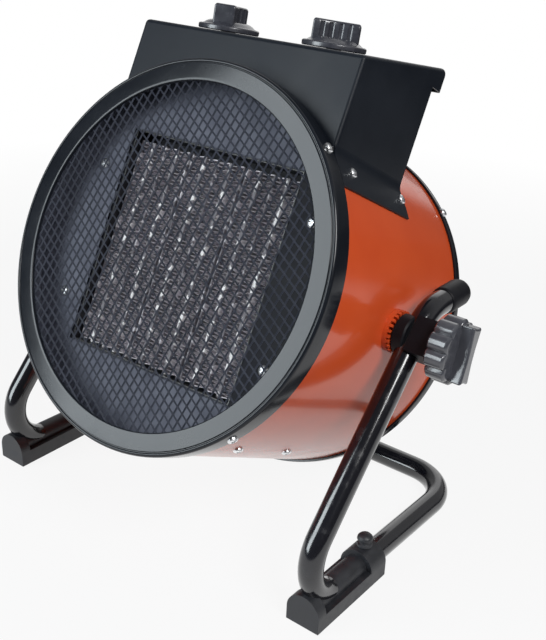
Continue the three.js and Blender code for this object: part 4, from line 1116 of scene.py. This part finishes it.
@dataclass
class ControlBox:
    """The folded cover with its grip lip and rolled flanges, and the two dials on its top."""

    half_width: float = 89.4 * MM
    sheet: float = 1.2 * MM
    front: float = -76.5 * MM
    rear: float = 11 * MM
    front_top: float = 147 * MM
    slope: float = math.radians(15.15)
    lip_reach: float = 13 * MM
    lip_height: float = 16.5 * MM
    fold: float = 2.6 * MM
    lip_fold: float = 6 * MM
    seat_radius: float = 124.35 * MM
    flange_end: float = math.radians(34.5)
    flange_rear: float = 11 * MM
    flange_bend: float = 12 * MM
    flange_screw: float = math.radians(40.4)
    flange_rows: tuple[float, float] = (-60 * MM, 6.5 * MM)
    dial_skirt: Spots = in_mm(
        (20, 0.3), (20.6, 0.8), (20.7, 2.9), (20.3, 3.6), (19.4, 4), (18.3, 4.05), (17.6, 4.3),
        (15.6, 5.7), (13.6, 6.7), (11.8, 7.1))
    grip_corners: Spots = in_mm((-15, -7.5, 3), (15, 7.5, 17.5))
    grip_top: tuple[float, float] = (0.97, 0.9)
    waist: float = 0.88
    waist_reaches: tuple[float, ...] = (1 * MM, 4.5 * MM, 8.5 * MM)
    pointer: Spots = in_mm((4, -0.5, 16.9), (15.5, 0.5, 18))
    flute_radius: float = 2.2 * MM
    flutes_mm: Spots = ((-8.5, 8.3), (-2.9, 6.9), (2.9, 6.9), (8.5, 8.3))
    flute_heights_mm: tuple[float, float] = (2, 16.2)
    knob_spacing: float = 43.6 * MM
    knob_along: float = -44 * MM
    thermostat_turn: float = math.radians(112)
    selector_turn: float = math.radians(32)

    def top_height(self, along: float) -> float:
        """The height of the sloping top at a place along the barrel."""
        return self.front_top + (along - self.front) * math.tan(self.slope)

    def sheet_form(self) -> Piece:
        """The cover before its flanges: a block bisected, pulled out to the lip and opened."""
        lip_bottom = self.top_height(self.rear + self.lip_reach) - self.lip_height
        base = self.seat_radius / 2
        cover = Bench.block("cover", (-self.half_width, self.front, base),
                            (self.half_width, self.rear, self.front_top))
        Bench.edit(cover, everything=False)
        Bench.pick(cover, Part.VERT, lambda spot: spot.z > self.front_top - MM and spot.y > 0)
        bpy.ops.transform.translate(value=(0, 0, self.top_height(self.rear) - self.front_top))
        bpy.ops.mesh.select_all(action="SELECT")
        bpy.ops.mesh.bisect(plane_co=(0, 0, lip_bottom), plane_no=(0, 0, 1))
        Bench.pick(cover, Part.FACE, lambda middle, normal: normal.y > 0.9 and middle.z > lip_bottom)
        bpy.ops.mesh.extrude_region_move(TRANSFORM_OT_translate={"value": (0, self.lip_reach, 0)})
        far = self.rear + self.lip_reach
        Bench.pick(cover, Part.VERT, lambda spot: spot.y > far - MM and spot.z > lip_bottom + MM)
        bpy.ops.transform.translate(value=(0, 0, self.top_height(far) - self.top_height(self.rear)))
        Bench.pick(cover, Part.FACE, lambda middle, normal: (
            normal.z < -0.9 or (normal.y > 0.9 and middle.y < far - MM)))
        bpy.ops.mesh.delete(type="FACE")
        Bench.pick(cover, Part.EDGE, lambda a, b: (
            min(a.y, b.y) > far - MM and min(a.z, b.z) > lip_bottom + MM))
        bpy.ops.mesh.bevel(offset=self.lip_fold, segments=7, affect="EDGES")
        Bench.close()
        Bench.eased(cover, self.fold, 4, 40)
        Bench.use(cover, "SOLIDIFY", thickness=self.sheet, offset=-1)
        barrel = Bench.bar("barrel", self.seat_radius, (0, -0.2, 0), (0, 0.2, 0), 192)
        return Bench.combine(cover, barrel)

    def flange(self) -> Piece:
        """The right hand flange: a strip spun out of the side sheet, then spun along the shell."""
        centre_x = self.half_width + self.flange_bend
        reach = self.seat_radius + self.sheet + self.flange_bend
        centre_z = math.sqrt(reach ** 2 - centre_x ** 2)
        turn = math.atan2(centre_z, centre_x)
        strip = Bench.block("flange", (self.half_width - self.sheet, self.front, centre_z),
                            (self.half_width, self.flange_rear, centre_z + 0.02 * MM))
        Bench.edit(strip, everything=False)
        Bench.pick(strip, Part.FACE, lambda middle, normal: normal.z < -0.9)
        bpy.ops.mesh.spin(steps=7, angle=turn, center=(centre_x, 0, centre_z), axis=(0, 1, 0))
        bpy.ops.mesh.spin(steps=4, angle=-(turn - self.flange_end), center=(0, 0, 0), axis=(0, 1, 0))
        Bench.close()
        return Bench.face_out(strip)

    def cover(self) -> Piece:
        """The whole cover, with both flanges."""
        right = self.flange()
        left = Bench.copied(right, "flange_left", MIRROR)
        piece = Bench.joined("control_box_cover_folded", [self.sheet_form(), right, left])
        Bench.moved(piece, BARREL_FRAME)
        return fitted(piece, "heater", Finish.BLACK_POWDER,
                      ["control_box_cover"], 32)

    def knob(self, name: str, side: int, turn: float) -> Piece:
        """A dial: a stepped skirt with a waisted and fluted bar grip.

        Args:
            name: the dial's name, as in its nodes and its body.
            side: 1 on the right, -1 on the left.
            turn: of the bar grip, from the X axis.

        Returns:
            The piece.
        """
        skirt = Bench.turned("skirt", self.dial_skirt, 72)
        grip = Bench.block("grip", *self.grip_corners)
        top = self.grip_corners[1][2]
        Bench.edit(grip)
        bpy.ops.mesh.subdivide(number_cuts=7)
        for reach in self.waist_reaches:
            Bench.pick(grip, Part.VERT, lambda spot: abs(spot.x) < reach)
            Bench.scaled(1, self.waist, 1)
        Bench.pick(grip, Part.VERT, lambda spot: spot.z > top - 0.5 * MM)
        Bench.scaled(*self.grip_top, 1, about=top)
        Bench.close()
        Bench.eased(grip, 1.1 * MM, 4, 45)
        Bench.combine(grip, Bench.block("pointer", *self.pointer))
        for along, reach in self.flutes_mm:
            for hand in Hand:
                start, end = (Vector((along, hand.value * reach, height)) * MM
                              for height in self.flute_heights_mm)
                Bench.combine(grip, Bench.bar("flute", self.flute_radius, start, end, 20))
        knob = Bench.joined(f"{name}_dial", [skirt, grip])
        lean = Matrix.Rotation(self.slope, 4, "X")
        spot = (side * self.knob_spacing, self.knob_along, self.top_height(self.knob_along))
        place = BARREL_FRAME @ Matrix.Translation(spot) @ lean @ Matrix.Rotation(turn, 4, "Z")
        Bench.moved(knob, place)
        return fitted(knob, f"{name}_dial", Finish.DIAL_PLASTIC, [f"{name}_knob"], 38)

    def build(self) -> None:
        """Makes the cover, its screws and both dials."""
        self.cover()
        spots = [(angle, along) for angle in (self.flange_screw, math.pi - self.flange_screw)
                 for along in self.flange_rows]
        places = [BARREL_FRAME @ outward(angle, self.seat_radius + self.sheet, along)
                  for angle, along in spots]
        PanScrew().set_of("flange_screws", places, "heater")
        self.knob("thermostat", -1, self.thermostat_turn)
        self.knob("selector", 1, self.selector_turn)


# ---------------------------------------------------------------- stand


@dataclass
class Stand:
    """The bent tube, its end caps, the moulded feet with their pegs, and the leg's pads."""

    tube_radius: float = 8 * MM
    leg_x: float = 139 * MM
    leg_angle: float = math.radians(48)
    stub_rise: float = 14 * MM
    stub_rear: float = 53 * MM
    crossbar: float = 84 * MM
    foot_tube_height: float = 12.4 * MM
    bend_top: float = 30 * MM
    bend_foot: float = 29 * MM
    bend_rear: float = 34 * MM
    cap_length: float = 25 * MM
    cap_radius: float = 9.1 * MM
    cap_bore: float = 8.05 * MM
    cap_overhang: float = 4.3 * MM
    cap_mouth: Spots = in_mm((-0.9, 0), (-0.3, 0.6), (0, 2.2))
    cap_tip: Spots = in_mm((0, -5.5), (-0.7, -2.8), (-2.4, -0.9), (-4.6, -0.1))
    foot_width: float = 24.4 * MM
    foot_height: float = 22.6 * MM
    foot_front: float = -104 * MM
    foot_length: float = 75 * MM
    foot_end: float = 8 * MM
    foot_sleeve: float = 17 * MM
    foot_wall: float = 11 * MM
    foot_ease: float = 0.9 * MM
    bed_gap: float = 0.2 * MM
    bed_drop: float = 1.4 * MM
    peg_form: Spots = in_mm(
        (3.4, -2), (3.4, 0.2), (5, 0.3), (5.2, 1), (4.9, 2), (3.7, 2.7), (3.5, 4.2), (4.9, 4.8),
        (5.3, 5.8), (5, 7.2), (3.9, 8.4), (2, 9), (0.3, 9.1))
    pad_form: Spots = in_mm((12.2, 129.5), (13, 130.1), (13, 137), (12, 138))
    saddle_reach: float = 18 * MM
    saddle_half: tuple[float, float] = (10 * MM, 12 * MM)
    saddle_ease: float = 1.6 * MM
    sides: int = 40

    def corners(self) -> list[Vector]:
        """The corners of the tube's right half, from its upper end to the middle of the crossbar."""
        rise = self.stub_rise / math.tan(self.leg_angle)
        reach = (PIVOT.z - self.foot_tube_height) / math.tan(self.leg_angle)
        return [
            Vector((self.leg_x, self.stub_rear, PIVOT.z + self.stub_rise)),
            Vector((self.leg_x, rise, PIVOT.z + self.stub_rise)),
            Vector((self.leg_x, -reach, self.foot_tube_height)),
            Vector((self.leg_x, self.crossbar, self.tube_radius)),
            Vector((0, self.crossbar, self.tube_radius))]

    def bent(self, name: str, radius: float) -> Piece:
        """The right half of the tube: a circle that is extruded straight and spun round each bend.

        Args:
            name: the object's name.
            radius: of the tube.

        Returns:
            The half tube, open at the middle.
        """
        corners = self.corners()
        bends = [self.bend_top, self.bend_foot, self.bend_rear]
        heading = (corners[1] - corners[0]).normalized()
        Bench.clear()
        bpy.ops.mesh.primitive_circle_add(
            vertices=self.sides, radius=radius, location=corners[0],
            rotation=heading.to_track_quat("Z", "Y").to_euler(), fill_type="NGON")
        tube = Bench.named(name)
        Bench.edit(tube, everything=False)
        bpy.ops.mesh.select_mode(type="EDGE")
        bpy.ops.mesh.select_all(action="SELECT")
        spot = corners[0]
        for corner, onward, bend in zip(corners[1:], corners[2:], bends):
            leaving = (onward - corner).normalized()
            turn = heading.angle(leaving)
            start = corner - heading * bend * math.tan(turn / 2)
            bpy.ops.mesh.extrude_edges_move(TRANSFORM_OT_translate={"value": start - spot})
            inward = (leaving - heading * heading.dot(leaving)).normalized()
            axis = heading.cross(leaving).normalized()
            steps = max(4, round(14 * turn / (math.pi / 2)))
            bpy.ops.mesh.spin(steps=steps, angle=-turn, center=start + inward * bend, axis=axis)
            spot = corner + leaving * bend * math.tan(turn / 2)
            heading = leaving
        bpy.ops.mesh.extrude_edges_move(TRANSFORM_OT_translate={"value": corners[-1] - spot})
        Bench.close()
        return Bench.face_out(tube)

    def tube(self) -> Piece:
        """The whole tube, mirrored from its right half."""
        tube = self.bent("stand_tube_bent", self.tube_radius)
        Bench.use(tube, "MIRROR", use_clip=True, merge_threshold=0.01 * MM)
        Bench.face_out(tube)
        Bench.moved(tube, STAND_FRAME)
        return fitted(tube, "stand", Finish.BLACK_GLOSS, ["stand_tube"], 50)

    def cap(self) -> Piece:
        """The right hand end cap: a soft sleeve with a rounded end."""
        r, end = self.cap_radius, self.cap_length
        profile = [(self.cap_bore, 0.0)]
        profile += [(r + across, along) for across, along in self.cap_mouth]
        profile += [(r + across, end + along) for across, along in self.cap_tip]
        cap = Bench.turned("cap", profile + [(1 * MM, end)], 48)
        place = (self.leg_x, self.stub_rear + self.cap_overhang - end, PIVOT.z + self.stub_rise)
        return Bench.moved(cap, Matrix.Translation(place) @ ALONG_Y)

    def foot(self) -> Piece:
        """The right hand foot: an arched block with an open middle and a sleeve round the run."""
        half, top = self.foot_width / 2, self.foot_height
        rear = self.foot_front + self.foot_length
        foot = Bench.block("foot", (self.leg_x - half, self.foot_front, 0),
                           (self.leg_x + half, rear, top - half))
        arch = Bench.bar("arch", half, (self.leg_x, self.foot_front, top - half),
                         (self.leg_x, rear, top - half), 64)
        Bench.combine(foot, arch, Cut.ADD)
        Bench.combine(foot, Bench.block("ground", (0, 2 * self.foot_front, -top),
                                        (2 * self.leg_x, -self.foot_front, 0)))
        window = Bench.block(
            "window", (self.leg_x - 2 * half, self.foot_front + self.foot_end, self.foot_wall),
            (self.leg_x + 2 * half, rear - self.foot_sleeve, 2 * top))
        Bench.combine(foot, window)
        Bench.eased(foot, self.foot_ease, 3, 40)
        bed = Bench.bar("bed", self.tube_radius + self.bed_gap,
                        (self.leg_x, self.foot_front + self.foot_end, self.foot_tube_height),
                        (self.leg_x, rear + MM, self.foot_tube_height - self.bed_drop), 48)
        return Bench.combine(foot, bed)

    def peg(self) -> Piece:
        """The right hand foot's push-in peg with its mushroom cap."""
        top = self.foot_height
        peg = Bench.turned("peg", [(reach, top + height) for reach, height in self.peg_form], 36)
        along = self.foot_front + self.foot_length - self.foot_sleeve / 2
        return Bench.moved(peg, Matrix.Translation((self.leg_x, along, 0)))

    def saddle(self) -> Piece:
        """The outer saddle between the right leg and its hand knob."""
        deep, high = self.saddle_half
        block = Bench.block("saddle", (self.leg_x + MM, -deep, -high),
                            (self.leg_x + self.saddle_reach, deep, high))
        Bench.moved(block, Matrix.Rotation(self.leg_angle - math.pi / 2, 4, "X"))
        along = Vector((0, math.cos(self.leg_angle), math.sin(self.leg_angle))) * 40 * MM
        side = Vector((self.leg_x, 0, 0))
        Bench.combine(block, Bench.bar("leg", self.tube_radius + 0.1 * MM, side - along, side + along))
        Bench.eased(block, self.saddle_ease, 3, 40)
        return Bench.moved(block, Matrix.Translation((0, 0, PIVOT.z)))

    def pad(self) -> Piece:
        """The inner pad between the right leg and the toothed disc."""
        pad = Bench.turned("pad", self.pad_form, 64)
        return Bench.moved(pad, Matrix.Translation((0, 0, PIVOT.z)) @ ALONG_X)

    def build(self) -> None:
        """Makes the tube, and each mirrored pair."""
        self.tube()
        pairs = [
            ("tube_cap", self.cap(), "dark_rubber", Finish.SATIN_BLACK),
            ("foot", self.foot(), "dark_rubber", Finish.DARK_RUBBER),
            ("foot_peg", self.peg(), "dark_rubber", Finish.DARK_RUBBER),
            ("pivot_saddle", self.saddle(), "black_plastic", Finish.SATIN_BLACK),
            ("pivot_pad", self.pad(), "black_plastic", Finish.SATIN_BLACK)]
        for name, model, slot, finish in pairs:
            for hand in Hand:
                copy = Bench.copied(model, f"{name}_{hand.word}_form", STAND_FRAME @ hand.place)
                fitted(copy, "stand", finish, [f"{name}_{hand.word}"], 38)
            bpy.data.objects.remove(model)


# ---------------------------------------------------------------- tilt clamps


@dataclass
class Clamps:
    """The toothed discs on the barrel and the hand knobs outside the legs."""

    disc_radius: float = 14 * MM
    disc_base: float = 123.6 * MM
    disc_crown: float = 126.8 * MM
    disc_face: float = 129.2 * MM
    crown_inside: float = 9 * MM
    hub_radius: float = 8.6 * MM
    disc_bore: float = 4.5 * MM
    teeth: int = 24
    knob_radius: float = 21 * MM
    knob_seat: float = 157.3 * MM
    knob_base: float = 13.5 * MM
    base_foot: Spots = in_mm((-1.2, 0), (0, 1.2))
    base_rim: Spots = in_mm((0, -1.6), (-1.2, -0.4), (-3.2, 0))
    base_inside: float = 6 * MM
    grip: tuple[float, float, float] = (36 * MM, 11 * MM, 8 * MM)
    lobes: int = 10
    notch_steps: Spots = ((0.3, 0.978), (0.2, 0.965), (0.08, 0.9))
    waist_shares: tuple[float, ...] = (0.9, 0.6, 0.3)
    waist: float = 0.9
    arch: float = 0.965
    turn: float = math.radians(80)

    def disc(self) -> Piece:
        """The orange disc: a boss with a crown of square teeth."""
        disc = Bench.turned("disc", [
            (self.disc_radius, self.disc_base), (self.disc_radius, self.disc_crown),
            (self.crown_inside, self.disc_crown), (self.hub_radius, self.disc_face),
            (self.disc_bore, self.disc_face), (self.disc_bore - 0.2 * MM, self.disc_base)],
            2 * self.teeth, ring=True)
        Bench.edit(disc, everything=False)
        step = TAU / (2 * self.teeth)

        def tooth(middle: Vector, normal: Vector) -> bool:
            """True for every second face of the flat rim."""
            reach = math.hypot(middle.x, middle.y)
            return normal.z > 0.9 and reach > 10 * MM and (
                math.floor(math.atan2(middle.y, middle.x) / step) % 2 == 0)

        Bench.pick(disc, Part.FACE, tooth)
        bpy.ops.mesh.extrude_faces_move(
            TRANSFORM_OT_shrink_fatten={"value": self.disc_face - self.disc_crown})
        Bench.close()
        return Bench.moved(disc, ALONG_X)

    def knob(self) -> Piece:
        """The right hand knob: a lobed base with a waisted bar across it."""
        r, top = self.knob_radius, self.knob_base
        profile = [(r + across, height) for across, height in self.base_foot]
        profile += [(r + across, top + height) for across, height in self.base_rim]
        base = Bench.turned("base", profile + [(self.base_inside, top)], 8 * self.lobes)
        Bench.edit(base, everything=False)
        lobe = TAU / self.lobes

        def in_notch(width: float) -> Callable[[Vector], bool]:
            """A test for the rim's points within a width of a notch, as a share of a lobe."""
            def test(spot: Vector) -> bool:
                """True near a notch on the rim."""
                share = (math.atan2(spot.y, spot.x) / lobe + 0.5) % 1 - 0.5
                return math.hypot(spot.x, spot.y) > 12 * MM and abs(share) < width
            return test

        for width, growth in self.notch_steps:
            Bench.pick(base, Part.VERT, in_notch(width))
            Bench.scaled(growth, growth, 1)
        Bench.close()
        long, wide, high = self.grip
        grip = Bench.block("grip", (-wide / 2, -long / 2, self.knob_base - MM),
                           (wide / 2, long / 2, self.knob_base + high))
        Bench.edit(grip)
        bpy.ops.mesh.subdivide(number_cuts=7)
        for share in self.waist_shares:
            Bench.pick(grip, Part.VERT, lambda spot: abs(spot.y) < share * long / 2)
            Bench.scaled(self.waist, 1, 1)
        Bench.pick(grip, Part.VERT, lambda spot: abs(spot.x) < 0.3 * wide)
        Bench.scaled(1, self.arch, 1)
        Bench.pick(grip, Part.VERT, lambda spot: spot.z > self.knob_base + high - 0.1 * MM)
        Bench.scaled(self.waist, self.arch, 1)
        Bench.close()
        Bench.eased(grip, 2 * MM, 4, 45)
        knob = Bench.joined("hand_knob", [base, grip])
        Bench.moved(knob, Matrix.Translation((0, 0, self.knob_seat)))
        Bench.moved(knob, ALONG_X)
        return Bench.moved(knob, Matrix.Rotation(-self.turn, 4, "X"))

    def build(self) -> None:
        """Makes both discs and both knobs."""
        disc, knob = self.disc(), self.knob()
        for hand in Hand:
            place = BARREL_FRAME @ hand.place
            copy = Bench.copied(disc, f"tooth_disc_{hand.word}_crown", place)
            fitted(copy, "heater", Finish.ORANGE_ENAMEL, [f"tooth_disc_{hand.word}"])
            copy = Bench.copied(knob, f"clamp_knob_{hand.word}_moulding", place)
            fitted(copy, f"clamp_{hand.word}", Finish.CLAMP_PLASTIC,
                   [f"clamp_knob_{hand.word}"], 38)
        bpy.data.objects.remove(disc)
        bpy.data.objects.remove(knob)


# ---------------------------------------------------------------- pieces that keep their CAD form


@dataclass(frozen=True)
class KeptForms:
    """The CAD nodes whose shape is right, each with its finish."""

    finishes: ClassVar[dict[str, Finish]] = {
        "element_frame": Finish.BLACK_PLASTIC, "thermal_cutout": Finish.ZINC,
        "motor_bracket": Finish.ZINC, "fan_motor": Finish.MOTOR_STEEL, "motor_shaft": Finish.ZINC,
        "fan_wheel": Finish.FINS, "control_box_back": Finish.BLACK_POWDER,
        "cable_gland": Finish.BLACK_PLASTIC, "terminal_block": Finish.PALE_PLASTIC,
        "thermostat_switch": Finish.PALE_PLASTIC, "selector_switch": Finish.PALE_PLASTIC,
        "thermostat_spindle": Finish.ZINC, "selector_spindle": Finish.ZINC,
        "clamp_bolt_right": Finish.ZINC, "clamp_bolt_left": Finish.ZINC}

    def build(self) -> None:
        """Dresses each kept node."""
        for name, finish in self.finishes.items():
            Wardrobe.dress(frame["nodes"][name], finish)
            LOG.info("%s keeps its CAD form", name)


# ---------------------------------------------------------------- studio


@dataclass
class Studio:
    """A pale floor, a room to reflect, soft lamps and the camera at the photograph's angle."""

    azimuth: float = math.radians(37.516)
    elevation: float = math.radians(24.964)
    roll: float = math.radians(2.167)
    distance: float = 705.5 * MM
    lens: float = 55.713
    aim_across: float = 22.2 * MM
    aim_height: float = 128.9 * MM
    floor_size: float = 12.0
    ambient: float = 0.2
    wall_light: float = 0.35
    screen_light: float = 0.9
    room_light: float = 0.08
    lamp_aim: Triple = (0, 0, 0.16)

    def camera(self) -> None:
        """The camera, turned about the pivot's place."""
        sin_a, cos_a = math.sin(self.azimuth), math.cos(self.azimuth)
        sin_e, cos_e = math.sin(self.elevation), math.cos(self.elevation)
        back = Vector((sin_a * cos_e, -cos_a * cos_e, sin_e))
        right = Vector((cos_a, sin_a, 0))
        up = back.cross(right)
        rolled = math.cos(self.roll) * right + math.sin(self.roll) * up
        upright = back.cross(rolled)
        aim = Vector((self.aim_across * cos_a, PIVOT.y + self.aim_across * sin_a, self.aim_height))
        view = Matrix((rolled, upright, back)).transposed().to_4x4()
        Bench.clear()
        bpy.ops.object.camera_add()
        camera = bpy.context.active_object
        camera.matrix_world = Matrix.Translation(aim + back * self.distance) @ view
        camera.data.lens = self.lens
        camera.data.clip_start = 10 * MM
        bpy.context.scene.camera = camera

    def lamp(self, name: str, spot: Triple, size: tuple[float, float], power: float,
             tint: Colour = (1, 1, 1)) -> None:
        """A soft rectangular lamp.

        Args:
            name: the lamp's name.
            spot: its place.
            size: of its face.
            power: in watts.
            tint: its colour.
        """
        Bench.clear()
        bpy.ops.object.light_add(type="AREA", location=spot)
        lamp = bpy.context.active_object
        lamp.name = name
        lamp.data.shape = "RECTANGLE"
        lamp.data.size, lamp.data.size_y = size
        lamp.data.energy = power
        lamp.data.color = tint
        lamp.rotation_euler = (Vector(spot) - Vector(self.lamp_aim)).to_track_quat("Z", "Y").to_euler()

    def world(self) -> None:
        """White to look at, and a dim room with a pale wall and a screen behind to reflect."""
        recipe = Recipe("studio", world=True)
        camera = recipe.node("ShaderNodeLightPath", output="Is Camera Ray")
        glossy = recipe.node("ShaderNodeLightPath", output="Is Glossy Ray")
        heading = recipe.node("ShaderNodeTexCoord", output="Generated")
        left, away, high = (recipe.node("ShaderNodeSeparateXYZ", None, {0: heading}, axis)
                            for axis in "XYZ")
        wall = away.between(-0.1, 0.4) * high.between(0.1, 0.25) * self.wall_light
        screen = left.between(-0.06, -0.16) * away.between(0.6, 0.7) * high.between(-0.12, -0.04)
        seen = glossy * (wall + screen * self.screen_light + self.room_light)
        room = seen + (1 - glossy) * self.ambient
        light = camera + (1 - camera) * room
        shade = recipe.node("ShaderNodeBackground", None, {"Color": (1.0, 1.0, 1.0), "Strength": light})
        bpy.context.scene.world = recipe.ended(shade, "World")

    def floor(self) -> None:
        """The floor: a wide plane."""
        Bench.clear()
        bpy.ops.mesh.primitive_plane_add(size=self.floor_size)
        floor = Wardrobe.dress(Bench.named("studio_floor"), Finish.FLOOR)

    def build(self) -> None:
        """Sets up the whole studio."""
        self.camera()
        self.world()
        self.floor()
        self.lamp("front_softbox", (-0.81, -1.415, 0.83), (0.92, 1.3), 34, (0.88, 0.96, 1.0))
        self.lamp("side_softbox", (1.13, -0.4, 1.22), (0.6, 0.6), 21)
        bpy.context.scene.view_settings.view_transform = "Standard"


def main() -> None:
    """Builds every sub-assembly in order, then the studio."""
    logging.basicConfig(level=logging.INFO, format="%(name)s %(message)s")
    barrel = Barrel()
    barrel.build()
    inset = 2.4 * MM
    MeshSheet("front_grille", barrel.front + inset).build("heater")
    MeshSheet("rear_grille", barrel.rear - inset, cell=(13.8 * MM, 18.2 * MM), strand=1.4 * MM,
              sheet=0.9 * MM, bond=3.6 * MM).build("heater")
    Element().build()
    ControlBox().build()
    Stand().build()
    Clamps().build()
    KeptForms().build()
    Studio().build()


if __name__ == "__main__":
    main()
